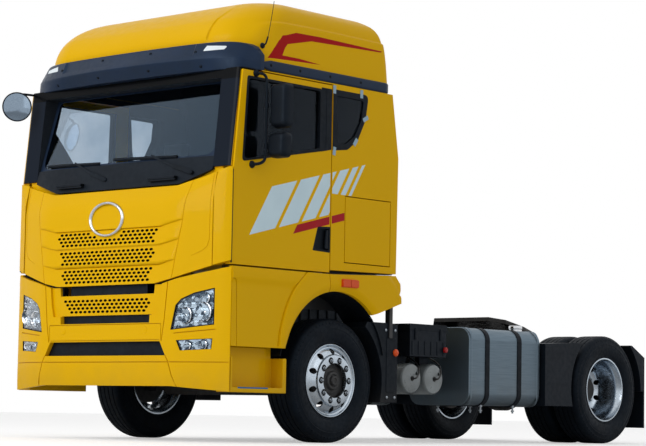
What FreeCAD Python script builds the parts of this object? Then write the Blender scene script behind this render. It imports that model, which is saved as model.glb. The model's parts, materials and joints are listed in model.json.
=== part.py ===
import FreeCAD, Part
import math
import os
import re
import Sketcher

# A two-axle semi truck tractor unit, in millimetres.
# The front faces -Y, the vehicle's left side is +X and +Z is up.
# The origin is on the ground, under the middle of the whole vehicle.

# Driving sizes
SIZES = {
    # Where the axles are, and the frame between them
    "front_axle_y": -1545,
    "wheelbase": 3800,
    "front_track": 2020,
    "rear_tyre_gap": 169,
    "frame_front": 1180,
    "frame_rear": 4640,
    "frame_width": 850,
    "rail_top": 950,
    "rail_height": 280,
    "rail_flange": 80,
    "rail_wall": 8,
    "seat_gap": 0.3,
    # Wheels
    "tyre_radius": 505,
    "tyre_width": 298,
    "tyre_wall": 22,
    "bead_radius": 286,
    "lip_radius": 298.5,
    "rim_half": 127,
    "flange_wall": 12.5,
    "well_radius": 262,
    "rim_wall": 12,
    "disc_wall": 20,
    "wheel_offset": 172,
    "bore_radius": 140.5,
    "stud_circle": 335,
    "stud_count": 10,
    "stud_radius": 12,
    "stud_length": 46,
    "hand_hole_circle": 456,
    "hand_hole_radius": 25,
    "drum_radius": 196,
    "hub_cap_radius": 104,
    # Front axle and steering
    "kingpin_x": 900,
    "kingpin_radius": 22,
    "beam_top": 490,
    "beam_height": 110,
    "beam_width": 90,
    "spindle_radius": 40,
    "running_gap": 6,
    # Springs
    "spring_width": 90,
    "spring_half": 700,
    "spring_end": 20,
    # Rear axle
    "axle_tube_radius": 75,
    "diff_radius": 210,
    "nose_length": 330,
    "shaft_radius": 55,
    # Engine block and gearbox
    "engine_gap": 15,
    "engine_front": 900,
    "engine_rear": 450,
    "engine_bottom": 640,
    "engine_top": 1320,
    "gearbox_half": 190,
    "gearbox_rear": 1250,
    "gearbox_bottom": 560,
    "gearbox_top": 1000,
    # Cab shell
    "cab_half": 1247,
    "cab_wall": 75,
    "cab_floor": 1372,
    "floor_wall": 68,
    "firewall_y": 1290,
    "firewall_wall": 70,
    "pillar_foot": 1312,
    "pillar_foot_z": 2135,
    "pillar_head": 1232,
    "cab_top": 2912,
    "cab_rear": 683,
    "cab_rear_z": 2379,
    "cab_rear_top": 597,
    "cab_corner": 55,
    "pillar_width": 206,
    "screen_bottom": 2222,
    "screen_foot": 1320,
    "screen_head": 1106,
    "screen_bow": 45,
    "glass_wall": 10,
    # Roof
    "roof_inset": 7,
    "roof_wall": 40,
    "roof_rise": 654,
    # Doors
    "door_front": 1288,
    "door_head": 1209,
    "door_rear": 165,
    "door_gap": 10,
    "hinge_inset": 9,
    "hinge_y": 1280,
    "hinge_radius": 7,
    "hinge_height": 44,
    "hinge_pin": 4,
    "window_front": 1190,
    "window_head": 1148,
    "window_rear": 300,
    "window_bottom": 2185,
    "window_drop": 170,
    # Storage hatch
    "hatch_front": 20,
    "hatch_rear": 585,
    "hatch_bottom": 1468,
    "hatch_top": 2002,
    "hatch_wall": 40,
    "hatch_gap": 8,
    "hatch_hinge_z": 1996,
    # Front flap
    "flap_front": 1458,
    "flap_wall": 25,
    "flap_hinge_y": 1325,
    "flap_hinge_z": 2060,
    "flap_gap": 5,
    "flap_bottom": 1230,
    "flap_top": 1998,
    "flap_inset": 137,
    "flap_sweep": 90,
    "flap_rise": 132,
    "flap_lean": 70,
    "badge_z": 1759,
    "badge_radius": 142,
    "badge_width": 18,
    # Bumper
    "bumper_front": 1460,
    "bumper_wall": 40,
    "bumper_bottom": 430,
    "bumper_top": 1222,
    "corner_width": 502,
    "bumper_seam": 0.8,
    "recess_depth": 9,
    "punch_half": 20,
    "punch_rise": 11,
    "punch_pitch": 53,
    "punch_row": 29.5,
    "punch_rows": 4,
    "notch_bottom": 1169,
    "slot_bottom": 936,
    "slot_top": 985,
    "intake_bottom": 667,
    "intake_top": 778,
    "lamp_depth": 70,
    "lamp_gap": 0.6,
    # Cab tilt hinge
    "tilt_y": 1365,
    "tilt_z": 905,
    "tilt_pin": 20,
    "tilt_arm_gap": 50,
    "tilt_arm_wall": 40,
    # Steps and fenders
    "step_top": 662,
    "step_bottom": 390,
    "step_front": 1278,
    "step_rear": 652,
    "step_back": 1112,
    "step_skin": 20,
    "step_tread": 40,
    "panel_wall": 50,
    "cab_clear": 12,
    "panel_bottom": 743,
    "arch_radius": 630,
    "arch_ahead": 50,
    "arch_z": 595,
    "liner_wall": 10,
    "guard_radius": 640,
    # Tanks
    "tank_inner": 520,
    "tank_outer": 1190,
    "tank_front": 1750,
    "tank_rear": 2790,
    "tank_bottom": 330,
    "tank_top": 1010,
    "tank_corner": 110,
    "strap_wall": 6,
    "strap_width": 60,
    "strap_one": 2010,
    "strap_two": 2480,
    "air_tank_radius": 131,
    "air_tank_z": 547,
    "air_tank_one": 1059,
    "air_tank_two": 1358,
    "air_tank_face": 1120,
    "battery_front": 986,
    "battery_rear": 1481,
    "battery_bottom": 735,
    "battery_top": 1008,
    # Rear mudguards
    "rear_guard_radius": 575,
    "rear_guard_inner": 600,
    "rear_guard_outer": 1236,
    "rear_guard_front": 2815,
    # Fifth wheel
    "coupling_y": 3400,
    "coupling_z": 1017,
    "coupling_rise": 110,
    "coupling_wall": 40,
    "coupling_half": 440,
    "coupling_tilt": 10.5,
    "kingpin_bore": 25.4,
}

# Sizes that follow from others
TIED = {
    "rear_track": "2 * (frame_width / 2 + rear_tyre_gap + tyre_width / 2 + wheel_offset)",
    "spring_x": "frame_width / 2",
    "engine_half": "frame_width / 2 - rail_flange - engine_gap",
    "tilt_arm_x": "frame_width / 2 + tilt_arm_gap",
    "roof_half": "cab_half - roof_inset",
    "roof_top": "cab_top + roof_rise",
    "hinge_x": "cab_half - hinge_inset",
    "hatch_hinge_x": "cab_half - roof_inset",
    "screen_half": "cab_half - pillar_width",
    "screen_top": "cab_top - 72",
    "door_top": "cab_top - 17",
    "window_top": "cab_top - 77",
    "flap_half": "cab_half - flap_inset",
    "bumper_half": "cab_half - corner_width",
    "flap_flat": "bumper_half - 15",
    "notch_half": "bumper_half - 187",
    "slot_half": "bumper_half - 225",
    "intake_bottom_half": "bumper_half - 36",
    "intake_top_half": "bumper_half - 101",
}

doc = FreeCAD.newDocument("TractorUnit")
sheet = doc.addObject("Spreadsheet::Sheet", "Sizes")
for row, (alias, number) in enumerate(SIZES.items(), start=1):
    sheet.set("A%d" % row, alias)
    sheet.set("B%d" % row, str(number))
    sheet.setAlias("B%d" % row, alias)
for row, (alias, formula) in enumerate(TIED.items(), start=len(SIZES) + 1):
    sheet.set("A%d" % row, alias)
    sheet.set("B%d" % row, "=" + formula)
    sheet.setAlias("B%d" % row, alias)
doc.recompute()


NAMES = set(SIZES) | set(TIED)


# Helpers: every length below is an expression on the sheet's names

def cells(text):
    """Point the size names in an expression at the sheet."""
    return re.sub(r"[a-z][a-z_]+", lambda m: "Sizes." + m.group() if m.group() in NAMES else m.group(), str(text))


def value(text):
    """The number that an expression gives."""
    result = sheet.evalExpression(cells(text))
    return float(getattr(result, "Value", result))


def value_count(text):
    """A size that counts copies."""
    return int(round(value(text)))


def ahead(text):
    """A place so far in front of the front axle."""
    return "front_axle_y - (%s)" % text


def behind(text):
    """A place so far behind the front axle."""
    return "front_axle_y + (%s)" % text


REAR_AXLE = behind("wheelbase")
RAIL_BOTTOM = "rail_top - rail_height"
RAIL_OUT = "frame_width / 2"
RAIL_SIDE = "frame_width / 2 + seat_gap"


def own_plane(body, role):
    return [plane for plane in body.Origin.OriginFeatures if plane.Role == role][0]


def outline(body, role, corners, offset):
    """A closed sketch on one of the body's planes, each corner bound to the sheet."""
    sketch = body.newObject("Sketcher::SketchObject", "Outline")
    sketch.AttachmentSupport = (own_plane(body, role), "")
    sketch.MapMode = "FlatFace"
    if role == "XZ_Plane":
        offset = "-(%s)" % offset
    sketch.setExpression(".AttachmentOffset.Base.z", cells(offset))
    points = [FreeCAD.Vector(value(a), value(b), 0) for a, b in corners]
    count = len(points)
    for i in range(count):
        sketch.addGeometry(Part.LineSegment(points[i], points[(i + 1) % count]))
    for i in range(count):
        sketch.addConstraint(Sketcher.Constraint("Coincident", i, 2, (i + 1) % count, 1))
    for i, (a, b) in enumerate(corners):
        for kind, text, start in (("DistanceX", a, points[i].x), ("DistanceY", b, points[i].y)):
            number = sketch.addConstraint(Sketcher.Constraint(kind, -1, 1, i, 1, start))
            sketch.setExpression("Constraints[%d]" % number, cells(text))
    return sketch


def prism(name, role, corners, low, high):
    """An outline pushed along its plane's axis, from low to high."""
    body = doc.addObject("PartDesign::Body", name)
    start = high if role == "XZ_Plane" else low
    sketch = outline(body, role, corners, start)
    pad = body.newObject("PartDesign::Pad", name + "Pad")
    pad.Profile = sketch
    pad.setExpression("Length", cells("(%s) - (%s)" % (high, low)))
    return body


def loft(name, role, sections, ruled=True):
    """A solid through outlines at several places along the plane's axis."""
    body = doc.addObject("PartDesign::Body", name)
    sketches = [outline(body, role, corners, place) for place, corners in sections]
    through = body.newObject("PartDesign::AdditiveLoft", name + "Loft")
    through.Profile = sketches[0]
    through.Sections = sketches[1:]
    through.Ruled = ruled
    return body


def turned(name, corners, centre):
    """A solid turned about a line along X; corners are (place along X, radius)."""
    body = doc.addObject("PartDesign::Body", name)
    sketch = outline(body, "XY_Plane", corners, "0")
    spin = body.newObject("PartDesign::Revolution", name + "Turn")
    spin.Profile = sketch
    spin.ReferenceAxis = (sketch, ["H_Axis"])
    spin.Angle = 360
    move(body, centre)
    return body


def move(piece, centre):
    for axis, text in zip("xyz", centre):
        piece.setExpression(".Placement.Base." + axis, cells(text))


def box(name, x, y, z):
    piece = doc.addObject("Part::Box", name)
    for side, (low, high) in zip(("Length", "Width", "Height"), (x, y, z)):
        piece.setExpression(side, cells("(%s) - (%s)" % (high, low)))
    move(piece, (x[0], y[0], z[0]))
    return piece


ROD_TURNS = {
    "x": FreeCAD.Rotation(FreeCAD.Vector(0, 1, 0), 90),
    "y": FreeCAD.Rotation(FreeCAD.Vector(1, 0, 0), -90),
    "z": FreeCAD.Rotation(),
}


def rod(name, axis, radius, low, high, centre):
    """A cylinder along one axis; centre gives its place on all three, the own axis unused."""
    piece = doc.addObject("Part::Cylinder", name)
    piece.Placement.Rotation = ROD_TURNS[axis]
    piece.setExpression("Radius", cells(radius))
    piece.setExpression("Height", cells("(%s) - (%s)" % (high, low)))
    place = [low if letter == axis else text for letter, text in zip("xyz", centre)]
    move(piece, place)
    return piece


def fuse(name, pieces):
    joined = doc.addObject("Part::MultiFuse", name)
    joined.Shapes = pieces
    return joined


def cut(name, base, tools):
    tool = tools[0] if len(tools) == 1 else fuse(name + "Tools", tools)
    left = doc.addObject("Part::Cut", name)
    left.Base = base
    left.Tool = tool
    return left


def common(name, first, second):
    shared = doc.addObject("Part::Common", name)
    shared.Base = first
    shared.Tool = second
    return shared


def mirrored(name, piece):
    other = doc.addObject("Part::Mirroring", name)
    other.Source = piece
    other.Normal = (1, 0, 0)
    return other


def both_sides(name, piece):
    return fuse(name, [piece, mirrored(name + "Other", piece)])


def rounded(name, piece, radius, wanted):
    """Fillet the edges of a piece that the test accepts."""
    doc.recompute()
    size = value(radius)
    fillet = doc.addObject("Part::Fillet", name)
    fillet.Base = piece
    fillet.Edges = [(i, size, size) for i, edge in enumerate(piece.Shape.Edges, start=1) if wanted(edge)]
    return fillet


def runs_along(edge, axis):
    ends = [vertex.Point for vertex in edge.Vertexes]
    if len(ends) < 2:
        return False
    along = ends[1] - ends[0]
    return abs(getattr(along, axis)) > 0.95 * along.Length


nodes = {}


def node(name, piece):
    """Name a finished sub-part; its label is its file's name."""
    piece.Label = name
    nodes[name] = piece


# Frame: two channel rails with their cross members

def frame_rails():
    inner = "frame_width / 2 - rail_wall"
    lip = "frame_width / 2 - rail_flange"
    section = [
        (RAIL_OUT, RAIL_BOTTOM), (RAIL_OUT, "rail_top"), (lip, "rail_top"), (lip, "rail_top - rail_wall"),
        (inner, "rail_top - rail_wall"), (inner, RAIL_BOTTOM + " + rail_wall"),
        (lip, RAIL_BOTTOM + " + rail_wall"), (lip, RAIL_BOTTOM),
    ]
    rail = prism("Rail", "XZ_Plane", section, ahead("frame_front"), behind("frame_rear"))
    node("frame_rails", both_sides("Rails", rail))


def crossmembers():
    reach = "frame_width / 2 - rail_wall - seat_gap"
    members = []
    for name, place, low, high in (
        ("Front", ahead("1150"), "690", "739.7"),
        ("Middle", behind("1520"), "800", "900"),
        ("TankCross", behind("2400"), "800", "900"),
        ("AxleCross", behind("3060"), "800", "900"),
    ):
        members.append(box("Cross" + name, ("-(%s)" % reach, reach), (place, place + " + 100"), (low, high)))
    plate = box("EndCross", ("-(%s)" % reach, reach), (behind("frame_rear - 60"), behind("frame_rear - 20")),
                (RAIL_BOTTOM + " + 30", "rail_top - 30"))
    holes = [rod("HitchHole", "y", "10.5", behind("frame_rear - 80"), behind("frame_rear"), (x, "0", z))
             for x in ("-80", "80") for z in ("760", "860")]
    members.append(cut("EndCrossDrilled", plate, holes))
    posts = [box("CabPost", (low, high), (behind("540"), behind("620")), ("rail_top + seat_gap", "1290"))
             for low, high in (("350", "420"), ("-420", "-350"))]
    beam = box("CabBeam", ("-420", "420"), (behind("540"), behind("620")), ("1280", "cab_floor - running_gap"))
    members.append(fuse("CabPortal", posts + [beam]))
    node("crossmembers", fuse("CrossMembers", members))


def tilt_brackets():
    plate = prism("TiltPlate", "YZ_Plane", [
        (ahead("tilt_y + 34"), "tilt_z - 34"), (ahead("tilt_y + 34"), "tilt_z + 34"),
        (ahead("frame_front - 180"), "rail_top - 10"), (ahead("frame_front - 180"), "rail_top - 120"),
    ], RAIL_SIDE, "tilt_arm_x - 10")
    hole = rod("TiltHole", "x", "tilt_pin + seat_gap", "frame_width / 2 - 10", "tilt_arm_x",
               ("0", ahead("tilt_y"), "tilt_z"))
    node("tilt_brackets", both_sides("TiltBrackets", cut("TiltBracket", plate, [hole])))


# Engine block, gearbox, shaft and axles

def engine_gearbox():
    engine = box("Engine", ("-engine_half", "engine_half"), (ahead("engine_front"), behind("engine_rear")),
                 ("engine_bottom", "engine_top"))
    gearbox = box("Gearbox", ("-gearbox_half", "gearbox_half"), (behind("engine_rear"), behind("gearbox_rear")),
                  ("gearbox_bottom", "gearbox_top"))
    foot = "frame_width / 2 - rail_wall - seat_gap"
    feet = [box("EngineFoot", ("-(%s)" % foot, foot), (place, place + " + 100"), ("780", "880"))
            for place in (ahead("600"), behind("250"))]
    node("engine_gearbox", fuse("PowerUnit", [engine, gearbox] + feet))


def prop_shaft():
    front_z, rear_z = "720", "tyre_radius + 40"
    front_y = behind("gearbox_rear + seat_gap")
    rear_y = REAR_AXLE + " - nose_length - seat_gap"
    front = rod("FrontYoke", "y", "70", front_y, front_y + " + 90", ("0", "0", front_z))
    rear = rod("RearYoke", "y", "70", rear_y + " - 90", rear_y, ("0", "0", rear_z))
    run = "(%s) - (%s) - 90" % (rear_y, front_y)
    drop = "(%s) - (%s)" % (front_z, rear_z)
    tube = doc.addObject("Part::Cylinder", "ShaftTube")
    tube.Placement.Rotation = FreeCAD.Rotation(FreeCAD.Vector(1, 0, 0), -90)
    tube.setExpression("Radius", cells("shaft_radius"))
    tube.setExpression("Height", cells("sqrt((%s) ^ 2 + (%s) ^ 2)" % (run, drop)))
    tube.setExpression(".Placement.Rotation.Angle", cells("90 deg + atan((%s) / (%s))" % (drop, run)))
    tube.Placement.Rotation.Axis = FreeCAD.Vector(-1, 0, 0)
    move(tube, ("0", front_y + " + 45", front_z))
    node("prop_shaft", fuse("PropShaft", [front, tube, rear]))


def front_axle():
    top, low = "beam_top", "beam_top - beam_height"
    half = "beam_width / 2"
    corners = [
        ("-(kingpin_x - 70)", "tyre_radius - 50"), ("-(kingpin_x - 170)", low), ("kingpin_x - 170", low),
        ("kingpin_x - 70", "tyre_radius - 50"), ("kingpin_x - 40", "tyre_radius + 50"), ("kingpin_x - 160", top),
        ("-(kingpin_x - 160)", top), ("-(kingpin_x - 40)", "tyre_radius + 50"),
    ]
    beam = prism("AxleBeam", "XZ_Plane", corners, "front_axle_y - " + half, "front_axle_y + " + half)
    eyes = [rod("AxleEye", "z", "kingpin_radius + 33", "tyre_radius - 55", "tyre_radius + 55",
                (x, "front_axle_y", "0")) for x in ("kingpin_x", "-kingpin_x")]
    bores = [rod("AxleBore", "z", "kingpin_radius + seat_gap", "tyre_radius - 80", "tyre_radius + 80",
                 (x, "front_axle_y", "0")) for x in ("kingpin_x", "-kingpin_x")]
    node("front_axle", cut("FrontAxle", fuse("BeamWithEyes", [beam] + eyes), bores))


def knuckles():
    reach = "tyre_radius + 55 + running_gap"
    low = "tyre_radius - 55 - running_gap"
    outer = "kingpin_x + 100"
    depth = ("front_axle_y - 40", "front_axle_y + 40")
    upper = box("ForkTop", ("kingpin_x - 30", outer), depth, (reach, reach + " + 34"))
    lower = box("ForkBottom", ("kingpin_x - 30", outer), depth, (low + " - 34", low))
    web = box("ForkWeb", ("kingpin_x + 62", outer), depth, (low + " - 34", reach + " + 34"))
    pin = rod("Kingpin", "z", "kingpin_radius", low + " - 34", reach + " + 34", ("kingpin_x", "front_axle_y", "0"))
    spindle = rod("Spindle", "x", "spindle_radius", "kingpin_x + 80", "front_track / 2 + 118",
                  ("0", "front_axle_y", "tyre_radius"))
    left = fuse("KnuckleLeft", [upper, lower, web, pin, spindle])
    node("knuckle_left", left)
    node("knuckle_right", mirrored("KnuckleRight", left))


def springs(name, centre, seat, crown):
    """One pack of leaves a side, with its hangers under the rails."""
    low, high = "spring_x - spring_width / 2", "spring_x + spring_width / 2"
    eye = RAIL_BOTTOM + " - 22"
    mid = "(%s) - (%s)" % (eye, seat)
    corners = [
        (centre + " - spring_half", eye + " - spring_end"), (centre + " - spring_half / 2", seat + " + (%s) * 0.2" % mid),
        (centre, seat), (centre + " + spring_half / 2", seat + " + (%s) * 0.2" % mid),
        (centre + " + spring_half", eye + " - spring_end"), (centre + " + spring_half", eye),
        (centre + " + spring_half / 2", seat + " + (%s) * 0.2 + %s * 0.75" % (mid, crown)),
        (centre, seat + " + " + crown),
        (centre + " - spring_half / 2", seat + " + (%s) * 0.2 + %s * 0.75" % (mid, crown)),
        (centre + " - spring_half", eye),
    ]
    pack = prism(name + "Pack", "YZ_Plane", corners, low, high)
    hangers = [box(name + "Hanger", (low, high), (place + " - 50", place + " + 50"),
                   (eye + " + seat_gap", RAIL_BOTTOM + " - seat_gap"))
               for place in (centre + " - spring_half + 45", centre + " + spring_half - 45")]
    return both_sides(name, fuse(name + "Side", [pack] + hangers))


def all_springs():
    node("front_springs", springs("FrontSprings", "front_axle_y", "beam_top + seat_gap", "70"))
    node("rear_springs", springs("RearSprings", REAR_AXLE, "tyre_radius + axle_tube_radius + seat_gap", "66"))


def rear_axle():
    end = "rear_track / 2 - wheel_offset - 50"
    half = [("60", "diff_radius"), ("110", "diff_radius - 18"), ("230", "axle_tube_radius + 12"),
            ("spring_x - spring_width", "axle_tube_radius"), (end, "axle_tube_radius"), (end, "0")]
    tube = turned("AxleTube", [("-(%s)" % a, b) for a, b in reversed(half)] + half, ("0", REAR_AXLE, "tyre_radius"))
    nose = rod("DiffNose", "y", "100", REAR_AXLE + " - nose_length", REAR_AXLE, ("0", "0", "tyre_radius + 40"))
    node("rear_axle", fuse("RearAxle", [tube, nose]))


# Wheels

def tyre(name, centre):
    half = "tyre_width / 2"
    seat = "rim_half - flange_wall - seat_gap"
    side = [
        (seat, "bead_radius"), (seat, "lip_radius + 4"), (half, "lip_radius + 98"), (half + " - 18", "tyre_radius - 16"),
        (half + " - 44", "tyre_radius"),
    ]
    inner = [
        (half + " - tyre_wall - 26", "tyre_radius - 32"), (half + " - tyre_wall", "lip_radius + 98"),
        (seat + " - tyre_wall", "lip_radius + 12"), (seat + " - tyre_wall", "bead_radius"),
    ]
    right = side + [("-(%s)" % a, b) for a, b in reversed(side)]
    left = [("-(%s)" % a, b) for a, b in reversed(inner)] + inner
    return turned(name, right + left, centre)


RIM_PROFILE = [
    ("-rim_half", "lip_radius"), ("flange_wall - rim_half", "lip_radius"),
    ("flange_wall - rim_half", "bead_radius - seat_gap"), ("-75", "bead_radius - seat_gap"),
    ("-55", "well_radius"), ("45", "well_radius"), ("65", "bead_radius - seat_gap"),
    ("rim_half - flange_wall", "bead_radius - seat_gap"), ("rim_half - flange_wall", "lip_radius"),
    ("rim_half", "lip_radius"), ("rim_half", "lip_radius - 12"), ("rim_half - 21", "well_radius + 6"),
    ("wheel_offset - 32", "well_radius - 16"), ("wheel_offset", "stud_circle / 2 + 38"),
    ("wheel_offset", "bore_radius"), ("wheel_offset - disc_wall", "bore_radius"),
    ("wheel_offset - disc_wall", "stud_circle / 2 + 31"), ("wheel_offset - 47", "well_radius - 28"),
    ("rim_half - 32", "well_radius - rim_wall"), ("-62", "well_radius - rim_wall"),
    ("-85", "bead_radius - 14"), ("-rim_half", "lip_radius - 12"),
]


def rim(name, centre, facing):
    """A disc wheel; facing is 1 where the disc bulges towards +X, and -1 towards -X."""
    profile = [(a if facing > 0 else "-(%s)" % a, b) for a, b in RIM_PROFILE]
    body = turned(name, profile, centre)
    hole = body.newObject("Sketcher::SketchObject", "HandHole")
    hole.AttachmentSupport = (own_plane(body, "YZ_Plane"), "")
    hole.MapMode = "FlatFace"
    hole.setExpression(".AttachmentOffset.Base.z", cells("wheel_offset - 60" if facing > 0 else "60 - wheel_offset"))
    hole.addGeometry(Part.Circle(FreeCAD.Vector(0, value("hand_hole_circle / 2"), 0), FreeCAD.Vector(0, 0, 1),
                                 value("hand_hole_radius")))
    hole.addConstraint(Sketcher.Constraint("PointOnObject", 0, 3, -2))
    hole.addConstraint(Sketcher.Constraint("DistanceY", -1, 1, 0, 3, value("hand_hole_circle / 2")))
    hole.addConstraint(Sketcher.Constraint("Radius", 0, value("hand_hole_radius")))
    hole.setExpression("Constraints[1]", cells("hand_hole_circle / 2"))
    hole.setExpression("Constraints[2]", cells("hand_hole_radius"))
    pocket = body.newObject("PartDesign::Pocket", "HandHoles")
    pocket.Profile = hole
    pocket.Length = 90
    pocket.Reversed = facing > 0
    ring = body.newObject("PartDesign::PolarPattern", "HandHoleRing")
    ring.Originals = [pocket]
    ring.Axis = (own_plane(body, "X_Axis"), [""])
    ring.Angle = 360
    ring.setExpression("Occurrences", cells("stud_count"))
    body.Tip = ring
    return body


def studs(name, face, facing, centre):
    """The wheel nuts, in a ring on the wheel's face."""
    count = value_count("stud_count")
    pieces = []
    for i in range(count):
        angle = 360.0 * (i + 0.5) / count
        y = "(%s) + stud_circle / 2 * cos(%.3f deg)" % (centre[1], angle)
        z = "(%s) + stud_circle / 2 * sin(%.3f deg)" % (centre[2], angle)
        low, high = (face, face + " + stud_length") if facing > 0 else (face + " - stud_length", face)
        pieces.append(rod(name + "Stud", "x", "stud_radius", low, high, ("0", y, z)))
    return pieces


def front_wheels():
    centre = ("front_track / 2", "front_axle_y", "tyre_radius")
    left_tyre = tyre("FrontTyre", centre)
    node("tyre_front_left", left_tyre)
    node("tyre_front_right", mirrored("FrontTyreRight", left_tyre))
    bore = "spindle_radius + seat_gap"
    face = "wheel_offset - disc_wall - seat_gap"
    hub = turned("FrontHub", [
        ("-4", "drum_radius"), ("90", "drum_radius"), ("90", "150"), ("wheel_offset - 45", "150"),
        ("wheel_offset - 45", "stud_circle / 2 + 20"), (face, "stud_circle / 2 + 20"), (face, "bore_radius - 1"),
        ("wheel_offset + 6", "bore_radius - 1"), ("wheel_offset + 6", "hub_cap_radius"),
        ("wheel_offset + 50", "hub_cap_radius - 6"), ("wheel_offset + 58", "hub_cap_radius - 16"),
        ("wheel_offset + 58", "0"), ("125", "0"), ("125", bore), ("15", bore), ("15", "82"), ("70", "82"),
        ("70", "drum_radius - 12"), ("-4", "drum_radius - 12"),
    ], centre)
    nuts = studs("Front", "front_track / 2 + wheel_offset + seat_gap", 1, centre)
    rings = fuse("FrontNuts", nuts)
    wheel = fuse("FrontWheel", [rim("FrontRim", centre, 1), fuse("FrontHubNuts", [hub, rings])])
    node("wheel_front_left", wheel)
    node("wheel_front_right", mirrored("FrontWheelRight", wheel))


def rear_wheels():
    outer = ("rear_track / 2 + wheel_offset", REAR_AXLE, "tyre_radius")
    inner = ("rear_track / 2 - wheel_offset", REAR_AXLE, "tyre_radius")
    tyres = fuse("RearTyres", [tyre("RearTyreOuter", outer), tyre("RearTyreInner", inner)])
    node("tyres_rear_left", tyres)
    node("tyres_rear_right", mirrored("RearTyresRight", tyres))
    middle = ("rear_track / 2", REAR_AXLE, "tyre_radius")
    inside = "axle_tube_radius + seat_gap"
    face = "-disc_wall - seat_gap"
    hub = turned("RearHub", [
        ("-290", "drum_radius"), ("-60", "drum_radius"), ("-60", "150"), ("-50", "stud_circle / 2 + 20"),
        (face, "stud_circle / 2 + 20"), (face, "bore_radius - 1"), ("disc_wall + 22", "bore_radius - 1"),
        ("disc_wall + 22", "118"), ("100", "112"), ("108", "96"), ("108", "0"), ("-200", "0"), ("-200", inside),
        ("-270", inside), ("-270", "drum_radius - 12"), ("-290", "drum_radius - 12"),
    ], middle)
    nuts = studs("Rear", "rear_track / 2 + disc_wall + seat_gap", 1, middle)
    wheel = fuse("RearWheel", [rim("RearRimOuter", outer, -1), rim("RearRimInner", inner, 1),
                               fuse("RearHubNuts", [hub, fuse("RearNuts", nuts)])])
    node("wheels_rear_left", wheel)
    node("wheels_rear_right", mirrored("RearWheelRight", wheel))


# Tanks, battery box and what else hangs on the rails

def fuel_tanks():
    long_box = box("TankBlock", ("tank_inner", "tank_outer"), (behind("tank_front"), behind("tank_rear")),
                   ("tank_bottom", "tank_top"))
    tank = rounded("TankRound", long_box, "tank_corner", lambda edge: runs_along(edge, "y"))
    node("fuel_tanks", both_sides("FuelTanks", tank))


def tank_mounts():
    straps = []
    for place in ("strap_one", "strap_two"):
        span = (behind(place + " - strap_width / 2"), behind(place + " + strap_width / 2"))
        outer = box("StrapOuter", ("tank_inner - strap_wall", "tank_outer + strap_wall"), span,
                    ("tank_bottom - strap_wall", "tank_top + strap_wall"))
        band = rounded("StrapRound", outer, "tank_corner + strap_wall", lambda edge: runs_along(edge, "y"))
        wide = (behind(place + " - strap_width"), behind(place + " + strap_width"))
        gap = "seat_gap"
        inner = box("StrapInner", ("tank_inner - " + gap, "tank_outer + " + gap), wide,
                    ("tank_bottom - " + gap, "tank_top + " + gap))
        core = rounded("StrapCore", inner, "tank_corner + " + gap, lambda edge: runs_along(edge, "y"))
        ring = cut("StrapRing", band, [core])
        arm = box("TankArm", (RAIL_SIDE, "tank_inner - strap_wall / 2"), span, (RAIL_BOTTOM + " + 20", "rail_top - 60"))
        straps.append(fuse("Strap", [ring, arm]))
    node("tank_mounts", both_sides("TankMounts", fuse("TankMountSide", straps)))


def air_tanks():
    tanks = []
    for place in ("air_tank_one", "air_tank_two"):
        length = "air_tank_face - tank_inner"
        tanks.append(turned("AirTank", [
            ("0", "0"), ("0", "air_tank_radius * 0.7"), ("30", "air_tank_radius"),
            (length + " - 30", "air_tank_radius"), (length + " - 8", "air_tank_radius * 0.92"),
            (length, "air_tank_radius * 0.6"), (length, "0"),
        ], ("tank_inner", behind(place), "air_tank_z")))
    node("air_tanks", fuse("AirTanks", tanks))


def battery_box():
    case = box("BatteryCase", ("tank_inner + 40", "air_tank_face + 30"),
               (behind("battery_front"), behind("battery_rear")), ("battery_bottom", "battery_top"))
    arms = [box("BatteryArm", (RAIL_SIDE, "tank_inner + 60"), (behind(low), behind(high)),
                ("battery_bottom", "battery_bottom + 70"))
            for low, high in (("battery_front + 10", "battery_front + 80"), ("battery_rear - 80", "battery_rear - 10"))]
    hangers = []
    drums = []
    for place in ("air_tank_one", "air_tank_two"):
        for low in ("tank_inner + 110", "air_tank_face - 170"):
            hangers.append(box("AirHanger", (low, low + " + 50"), (behind(place + " - 60"), behind(place + " + 60")),
                               ("air_tank_z + air_tank_radius - 30", "battery_bottom + 5")))
        drums.append(rod("AirDrum", "x", "air_tank_radius + seat_gap", "tank_inner - 10", "air_tank_face + 10",
                         ("0", behind(place), "air_tank_z")))
    node("battery_box", cut("BatteryBox", fuse("BatteryParts", [case] + arms + hangers), drums))


def exhaust_box():
    case = box("ExhaustCase", ("-(tank_outer - 20)", "-(tank_inner + 10)"), (behind("830"), behind("1600")),
               ("400", "1000"))
    shell = rounded("ExhaustRound", case, "60", lambda edge: runs_along(edge, "y"))
    arms = [box("ExhaustArm", ("-(tank_inner + 40)", "-(%s)" % RAIL_SIDE), (behind(low), behind(low + " + 60")),
                ("760", "860")) for low in ("900", "1470")]
    pipe = rod("ExhaustPipe", "y", "55", behind("1590"), behind("1690"), ("-700", "0", "560"))
    node("exhaust_box", fuse("ExhaustBox", [shell, pipe] + arms))


def radiator():
    core = box("RadiatorCore", ("rail_flange + running_gap - frame_width / 2", "frame_width / 2 - rail_flange - running_gap"), (ahead("1145"), ahead("1060")), ("740", "1340"))
    node("radiator", core)


# Steps, fenders and mudguards

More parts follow.
